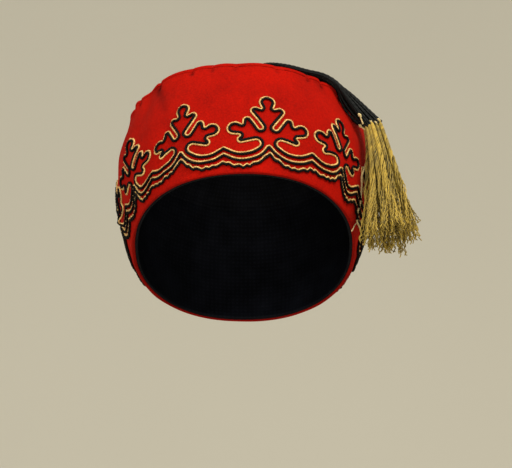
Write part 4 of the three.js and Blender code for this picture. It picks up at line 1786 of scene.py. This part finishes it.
# Steps of the sines that make each yarn its own: its angle, tone, length and sway.
ANGLE_STEP, TONE_STEP, LENGTH_STEP, SWAY_STEP = 2.6, 2.3, 3.1, 1.9


@dataclass(frozen=True)
class Stray:
    """A gold yarn that has strayed over the felt: its turns and heights, and how far off the felt it is."""

    turns: tuple[float, ...]
    heights: tuple[float, ...]
    off: tuple[float, ...]
    threads: int = 2


@dataclass(frozen=True)
class TiedEnd:
    """A short tied end of yarn on the skein: shares of the skein's way and angles round it, knot to tip."""

    share: float
    angle: float
    tip_share: float
    tip_angle: float


@dataclass
class Tassel:
    """The gold tassel: knots at its head, and twisted yarns that come apart into crinkled threads."""

    skein: Skein
    length: float = 95.0
    end_width: float = 43.0
    end_depth: float = 42.5
    root_reach: float = 0.86
    inner_reach: float = 0.48
    tuck: float = 4.3
    lock_end_radius: float = 4.2
    outer_yarns: int = 15
    inner_yarns: int = 7
    threads_per_yarn: int = 13
    yarn_radius: float = 1.2
    spread: float = 4.3
    twists: float = 4.5
    unwinding: float = 2.5
    thread_points: int = 96
    staggered_reach: float = 0.82
    stagger: float = 0.3
    inner_yarn_reach: float = 0.5
    inner_yarn_start: float = 1.1
    root_start: float = 1.4
    root_wave: Wave = Wave(1.2, 7, 3.0, 0.0)
    root_share: float = 0.4
    root_growth: float = 9.0
    bend_share: float = 0.3
    bow: float = 0.11
    bow_fall: float = 0.08
    outer_shortness: float = 0.06
    end_unevenness: float = 0.015
    thread_lengths: tuple[float, float] = (0.965, 1.01)
    least_apart: float = 0.2
    sway: float = 0.9
    sway_waves: float = 1.4
    swirl_stray: float = 1.2
    wander: float = 0.5
    end_wander: float = 0.7
    end_power: int = 12
    wander_up: float = 0.4
    # Painted shade: the inner yarns get a darker tone than the outer ones.
    inner_painted_shade: float = 0.25
    outer_tone: float = 0.6
    tone_swing: float = 0.22
    end_tone: float = 0.62
    tone_spread: float = 0.17
    seed: int = 11
    strays: tuple[Stray, ...] = (
        Stray((58.5, 58.9, 61.4, 64.7, 64.5, 68.8, 65, 60.1), (45, 29.5, 21.3, 13.3, 8, 4.4, -2, -9.8),
              (7, 1.2, 1.2, 1.2, 1.2, 1.2, 1.2, 1.2)),
        Stray((58.5, 59.2, 61.8, 64.7, 64.5, 68.8, 74.5, 78.9), (45, 29.5, 21.3, 13.3, 8, 4.4, 5.4, 6.7),
              (7, 1.4, 1.3, 1.3, 1.2, 1.2, 1.5, 1.5)),
    )
    tied_ends: tuple[TiedEnd, ...] = (TiedEnd(0.964, 4, 0.984, -14), TiedEnd(0.984, -44, 1.0, -30))
    tied_lift: float = 0.6
    tied_threads: int = 2
    line_points: int = 40
    stray_looseness: float = 0.2
    tied_looseness: float = 0.3
    stray_crinkle: float = 0.15
    knot_wraps: int = 3
    knot_length: float = 2.6
    knot_start: float = 1.6
    knot_end_radius: float = 0.3
    knot_swell: float = 0.55
    knot_thread: Cord = Cord(width=0.84, twist=3.0, step=0.5)
    finish: SpunThread = SpunThread(
        "gold_thread", roughness=0.55, sheen=0.1, specular=0.3, bump_height=0.05,
        light=colour(190, 158, 54), dark=colour(50, 45, 10), by_tone=True)
    knot_finish: SpunThread = SpunThread(
        "gold_knots", roughness=0.5, sheen=0.1, specular=0.4, bump_height=0.05,
        light=colour(244, 224, 164), dark=colour(170, 140, 70))

    def _yarn(self, side_share: float, out_share: float, length: float) -> tuple[Points, Points, Points]:
        """The root, bend and end of a yarn's middle line, where the shares place it across the tassel.

        Args:
            side_share: Its place across the tassel, from -1 to 1.
            out_share: Its place outwards, from -1 to 1.
            length: Its length.

        Returns:
            The three points.
        """
        at, along, side, off, size = self.skein.section_at(1.0)
        start = (-self.root_start - self.root_wave.at(side_share, out_share)
                 + self.skein.end_slant * out_share)
        root = at + along * start - side * side_share * size[0] * self.root_reach
        root = root + off * max(out_share, self.inner_reach * out_share) * size[1] * self.root_reach
        spread = self.end_depth - 2 * self.lock_end_radius
        radius = self.skein.hang_radius - self.tuck + self.lock_end_radius + (1 + out_share) / 2 * spread
        end = around(math.radians(self.skein.tassel_turn), radius, self.skein.tassel_top[2] - length)
        end = end + self.skein.sidewards * side_share * (self.end_width / 2 - self.lock_end_radius)
        bow = (self.bow - self.bow_fall * out_share) * spread
        return root, root + (end - root) * self.bend_share + self.skein.outwards * bow, end

    def _yarns(self) -> list[tuple[float, float]]:
        """Where the yarns are across the tassel.

        Returns:
            How far out each is, from 0 to 1, and its angle.
        """
        outer = [(self.staggered_reach if i % 2 else 1.0,
                  (i + self.stagger * math.sin(ANGLE_STEP * i)) * FULL_TURN / self.outer_yarns)
                 for i in range(self.outer_yarns)]
        inner = [(self.inner_yarn_reach, self.inner_yarn_start + i * FULL_TURN / self.inner_yarns)
                 for i in range(self.inner_yarns)]
        return outer + inner

    def build(self) -> None:
        """Makes the threads, the knots and the strays."""
        random = np.random.default_rng(self.seed)
        gold = self.finish.material()
        bundle = ThreadBundle()
        roots = []
        s = np.linspace(0, 1, self.thread_points)[:, None]
        wound = (1 - np.exp(-self.unwinding * s)) / (1 - math.exp(-self.unwinding))
        for number, (reach, angle) in enumerate(self._yarns()):
            side_share, out_share = reach * math.cos(angle), reach * math.sin(angle)
            outer = reach > self.inner_yarn_reach
            # Inner yarns are darkened as painted shade; outer yarns vary at random.
            yarn_tone_and_shade = self.inner_painted_shade
            if outer:
                yarn_tone_and_shade = self.outer_tone + self.tone_swing * math.sin(TONE_STEP * number)
            shorter = (self.outer_shortness * max(0.0, out_share)
                       - self.end_unevenness * math.sin(LENGTH_STEP * number))
            sway = self.sway * s * np.sin(FULL_TURN * self.sway_waves * s + SWAY_STEP * number)
            for thread in range(self.threads_per_yarn):
                length = self.length * (1 - shorter) * random.uniform(*self.thread_lengths)
                root, bend, end = self._yarn(side_share, out_share, length)
                line = root * (1 - s) ** 2 + 2 * bend * s * (1 - s) + end * s ** 2
                spot = FULL_TURN * thread / self.threads_per_yarn
                apart = random.uniform(self.least_apart, 1.0)
                radius = mix(self.yarn_radius * np.minimum(1, self.root_share + self.root_growth * s),
                             self.spread * apart, s ** 3.0)
                swirl = spot + FULL_TURN * self.twists * wound
                swirl = swirl + random.normal(0, self.swirl_stray) * s ** 2
                line = line + (radius * np.cos(swirl) + sway) * self.skein.sidewards
                line = line + radius * np.sin(swirl) * self.skein.outwards
                wander = random.normal(0, self.wander, 3) * s ** 3
                wander = wander + random.normal(0, self.end_wander, 3) * s ** self.end_power
                # The inner yarns' painted shade fades out towards the thread ends.
                evened = mix(yarn_tone_and_shade, self.end_tone, s[:, 0] ** 3)
                bundle.add(line + wander * (1, 1, self.wander_up),
                           evened + random.normal(0, self.tone_spread))
            if outer:
                roots.append(root)
        crinkle = CrinkledThreads()
        bundle.sweep("tassel_threads", crinkle, {}, gold, "tassel")
        self._knots(roots + [self._on_skein(end.share, end.angle) for end in self.tied_ends])
        self._strays(crinkle, random)

    def _on_skein(self, share: float, angle: float) -> Points:
        """A point just off the skein's cords, at an angle in degrees round it.

        Args:
            share: The share of the skein's way.
            angle: The angle.

        Returns:
            The point.
        """
        middle, _, side, off, size = self.skein.section_at(share)
        turn = math.radians(angle)
        return (middle + side * math.cos(turn) * (size[0] + self.tied_lift)
                + off * math.sin(turn) * (size[1] + self.tied_lift))

    def _knots(self, roots: list[Points]) -> None:
        """Small wound knots where the yarns are tied to the skein.

        Args:
            roots: The knots' places.
        """
        _, along, side, off, _ = self.skein.section_at(1.0)
        s = np.linspace(0, 1, self.line_points)[:, None]
        lines, outs = [], []
        for number, root in enumerate(roots):
            angle = FULL_TURN * self.knot_wraps * s + number
            ring = np.cos(angle) * side + np.sin(angle) * off
            swell = self.knot_end_radius + self.knot_swell * np.sin(math.pi * s)
            lines.append(root + along * (self.knot_length * s - self.knot_start) + ring * swell)
            outs.append(ring)
        knots = line_object("tassel_knots", lines, False, {"out": outs})
        SweptCord().run(knots, self.knot_thread.sizes, self.knot_finish.material())
        place(knots, Slot.GOLD_THREAD)

    def _strays(self, crinkle: CrinkledThreads, random: np.random.Generator) -> None:
        """The yarns that have strayed over the felt, and the tied ends.

        Args:
            crinkle: The tree that sweeps the threads.
            random: The source of random numbers.
        """
        form = self.skein.form
        bundle = ThreadBundle()
        s = np.linspace(0, 1, self.line_points)
        pale = np.ones(len(s))
        for stray in self.strays:
            knots = np.linspace(0, 1, len(stray.turns))
            turn = np.radians(np.interp(s, knots, stray.turns))
            height = np.interp(s, knots, stray.heights)
            off = np.interp(s, knots, stray.off)
            ground = form.wall(turn, np.clip(height / form.band_height, 0, 1))
            ground[:, 2] = height
            base = ground + unit(around(turn, 1.0, 0.0)) * off[:, None]
            for _ in range(stray.threads):
                bundle.add(base + random.normal(0, self.stray_looseness, 3), pale)
        for end in self.tied_ends:
            tied = np.array([self._on_skein(mix(end.share, end.tip_share, part),
                                            mix(end.angle, end.tip_angle, part)) for part in s])
            for _ in range(self.tied_threads):
                bundle.add(tied + random.normal(0, self.tied_looseness, 3) * s[:, None], pale)
        bundle.sweep("stray_threads", crinkle, {"Crinkle": self.stray_crinkle * MM},
                     self.knot_finish.material())


@dataclass(frozen=True)
class Lamp:
    """A square soft light that faces the cap: its place and side in metres, its watts and its colour."""

    name: str
    where: tuple[float, float, float]
    size: float
    watts: float
    shade: Colour


@dataclass
class Studio:
    """A plain pale floor that sweeps up into a backdrop, soft lights, and the photograph's camera."""

    image_width: int = 512
    image_height: int = 468
    elevation: float = -31.0
    distance: float = 1.7
    focal_pixels: float = 2500.0
    origin_at: tuple[float, float] = (243.7, 250.4)
    sensor: float = 36.0
    floor_height: float = -2.2
    wall_at: float = 2.6
    half_width: float = 6.0
    front: float = -6.0
    wall_top: float = 6.0
    corner_radius: float = 1.2
    corner_steps: int = 12
    clip: tuple[float, float] = (0.05, 50)
    paint: Colour = colour(201, 195, 177)
    backdrop: Colour = colour(208, 202, 184)
    paint_grain: float = 900.0
    paint_roughness: float = 0.9
    lamps: tuple[Lamp, ...] = (
        Lamp("key", (1.1, -1.9, 1.2), 1.0, 61, colour(255, 250, 240)),
        Lamp("fill", (-1.8, -1.6, 0.2), 1.4, 34, colour(245, 248, 255)),
        Lamp("low", (0.2, -1.8, -1.2), 1.2, 16, colour(255, 252, 245)),
    )
    room_shade: Colour = colour(250, 248, 240)
    room_strength: float = 0.55

    def build(self) -> None:
        """Makes the stage."""
        self._camera()
        self._sweep()
        self._lights()
        view = bpy.context.scene.view_settings
        view.view_transform = "Standard"
        view.look = "None"

    def _camera(self) -> None:
        """The camera, below the cap and looking up at it."""
        data = bpy.data.cameras.new("camera")
        data.sensor_width = self.sensor
        data.lens = self.sensor * self.focal_pixels / self.image_width
        data.shift_x = (self.image_width / 2 - self.origin_at[0]) / self.image_width
        data.shift_y = (self.origin_at[1] - self.image_height / 2) / self.image_width
        data.clip_start, data.clip_end = self.clip
        camera = put("camera", data)
        tilt = math.radians(self.elevation)
        camera.location = (0, -self.distance * math.cos(tilt), self.distance * math.sin(tilt))
        camera.rotation_euler = (math.pi / 2 - tilt, 0, 0)
        bpy.context.scene.camera = camera

    def _sweep(self) -> None:
        """The floor and the backdrop, one sheet with a rounded corner."""
        radius = self.corner_radius
        profile = [(self.front, self.floor_height)]
        for step in range(self.corner_steps + 1):
            angle = step / self.corner_steps * math.pi / 2
            profile.append((self.wall_at - radius + radius * math.sin(angle),
                            self.floor_height + radius - radius * math.cos(angle)))
        profile.append((self.wall_at, self.wall_top))
        points = [(x, y, z) for y, z in profile for x in (-self.half_width, self.half_width)]
        faces = [(2 * i, 2 * i + 1, 2 * i + 3, 2 * i + 2) for i in range(len(profile) - 1)]
        mesh = bpy.data.meshes.new("floor")
        mesh.from_pydata(points, [], faces)
        mesh.shade_smooth()
        material = bpy.data.materials.new("floor_paint")
        material.use_nodes = True
        material.node_tree.nodes.clear()
        tree = NodeTree(material.node_tree)
        where = tree.node("ShaderNodeTexCoord", {}, {}, "Object")
        cloud = Finish.noise(tree, where, self.paint_grain)
        paint = Finish.blend(tree, cloud, self.paint, self.backdrop)
        tree.surface(tree.node("ShaderNodeBsdfPrincipled", {},
                               {"Base Color": paint, "Roughness": self.paint_roughness}))
        mesh.materials.append(material)
        put("floor", mesh)

    def _lights(self) -> None:
        """The lights and the room's own light."""
        for lamp in self.lamps:
            data = bpy.data.lights.new(lamp.name, "AREA")
            data.size = lamp.size
            data.energy = lamp.watts
            data.color = lamp.shade[:3]
            made = put(lamp.name, data)
            x, y, z = lamp.where
            made.location = lamp.where
            made.rotation_euler = (math.atan2(math.hypot(x, y), z), 0, math.atan2(x, -y))
        world = bpy.data.worlds.new("room")
        world.use_nodes = True
        background = world.node_tree.nodes["Background"]
        background.inputs["Color"].default_value = self.room_shade
        background.inputs["Strength"].default_value = self.room_strength
        bpy.context.scene.world = world


def main() -> None:
    """Builds the stage and every piece of the cap, in order."""
    logging.basicConfig(level=logging.INFO, format="%(name)s: %(message)s")
    Studio().build()
    form = CapForm()
    FeltShell(form).build()
    Lining(form).build()
    CouchedPattern(form).build()
    skein = Skein(form)
    skein.build()
    Tassel(skein).build()


if __name__ == "__main__":
    main()
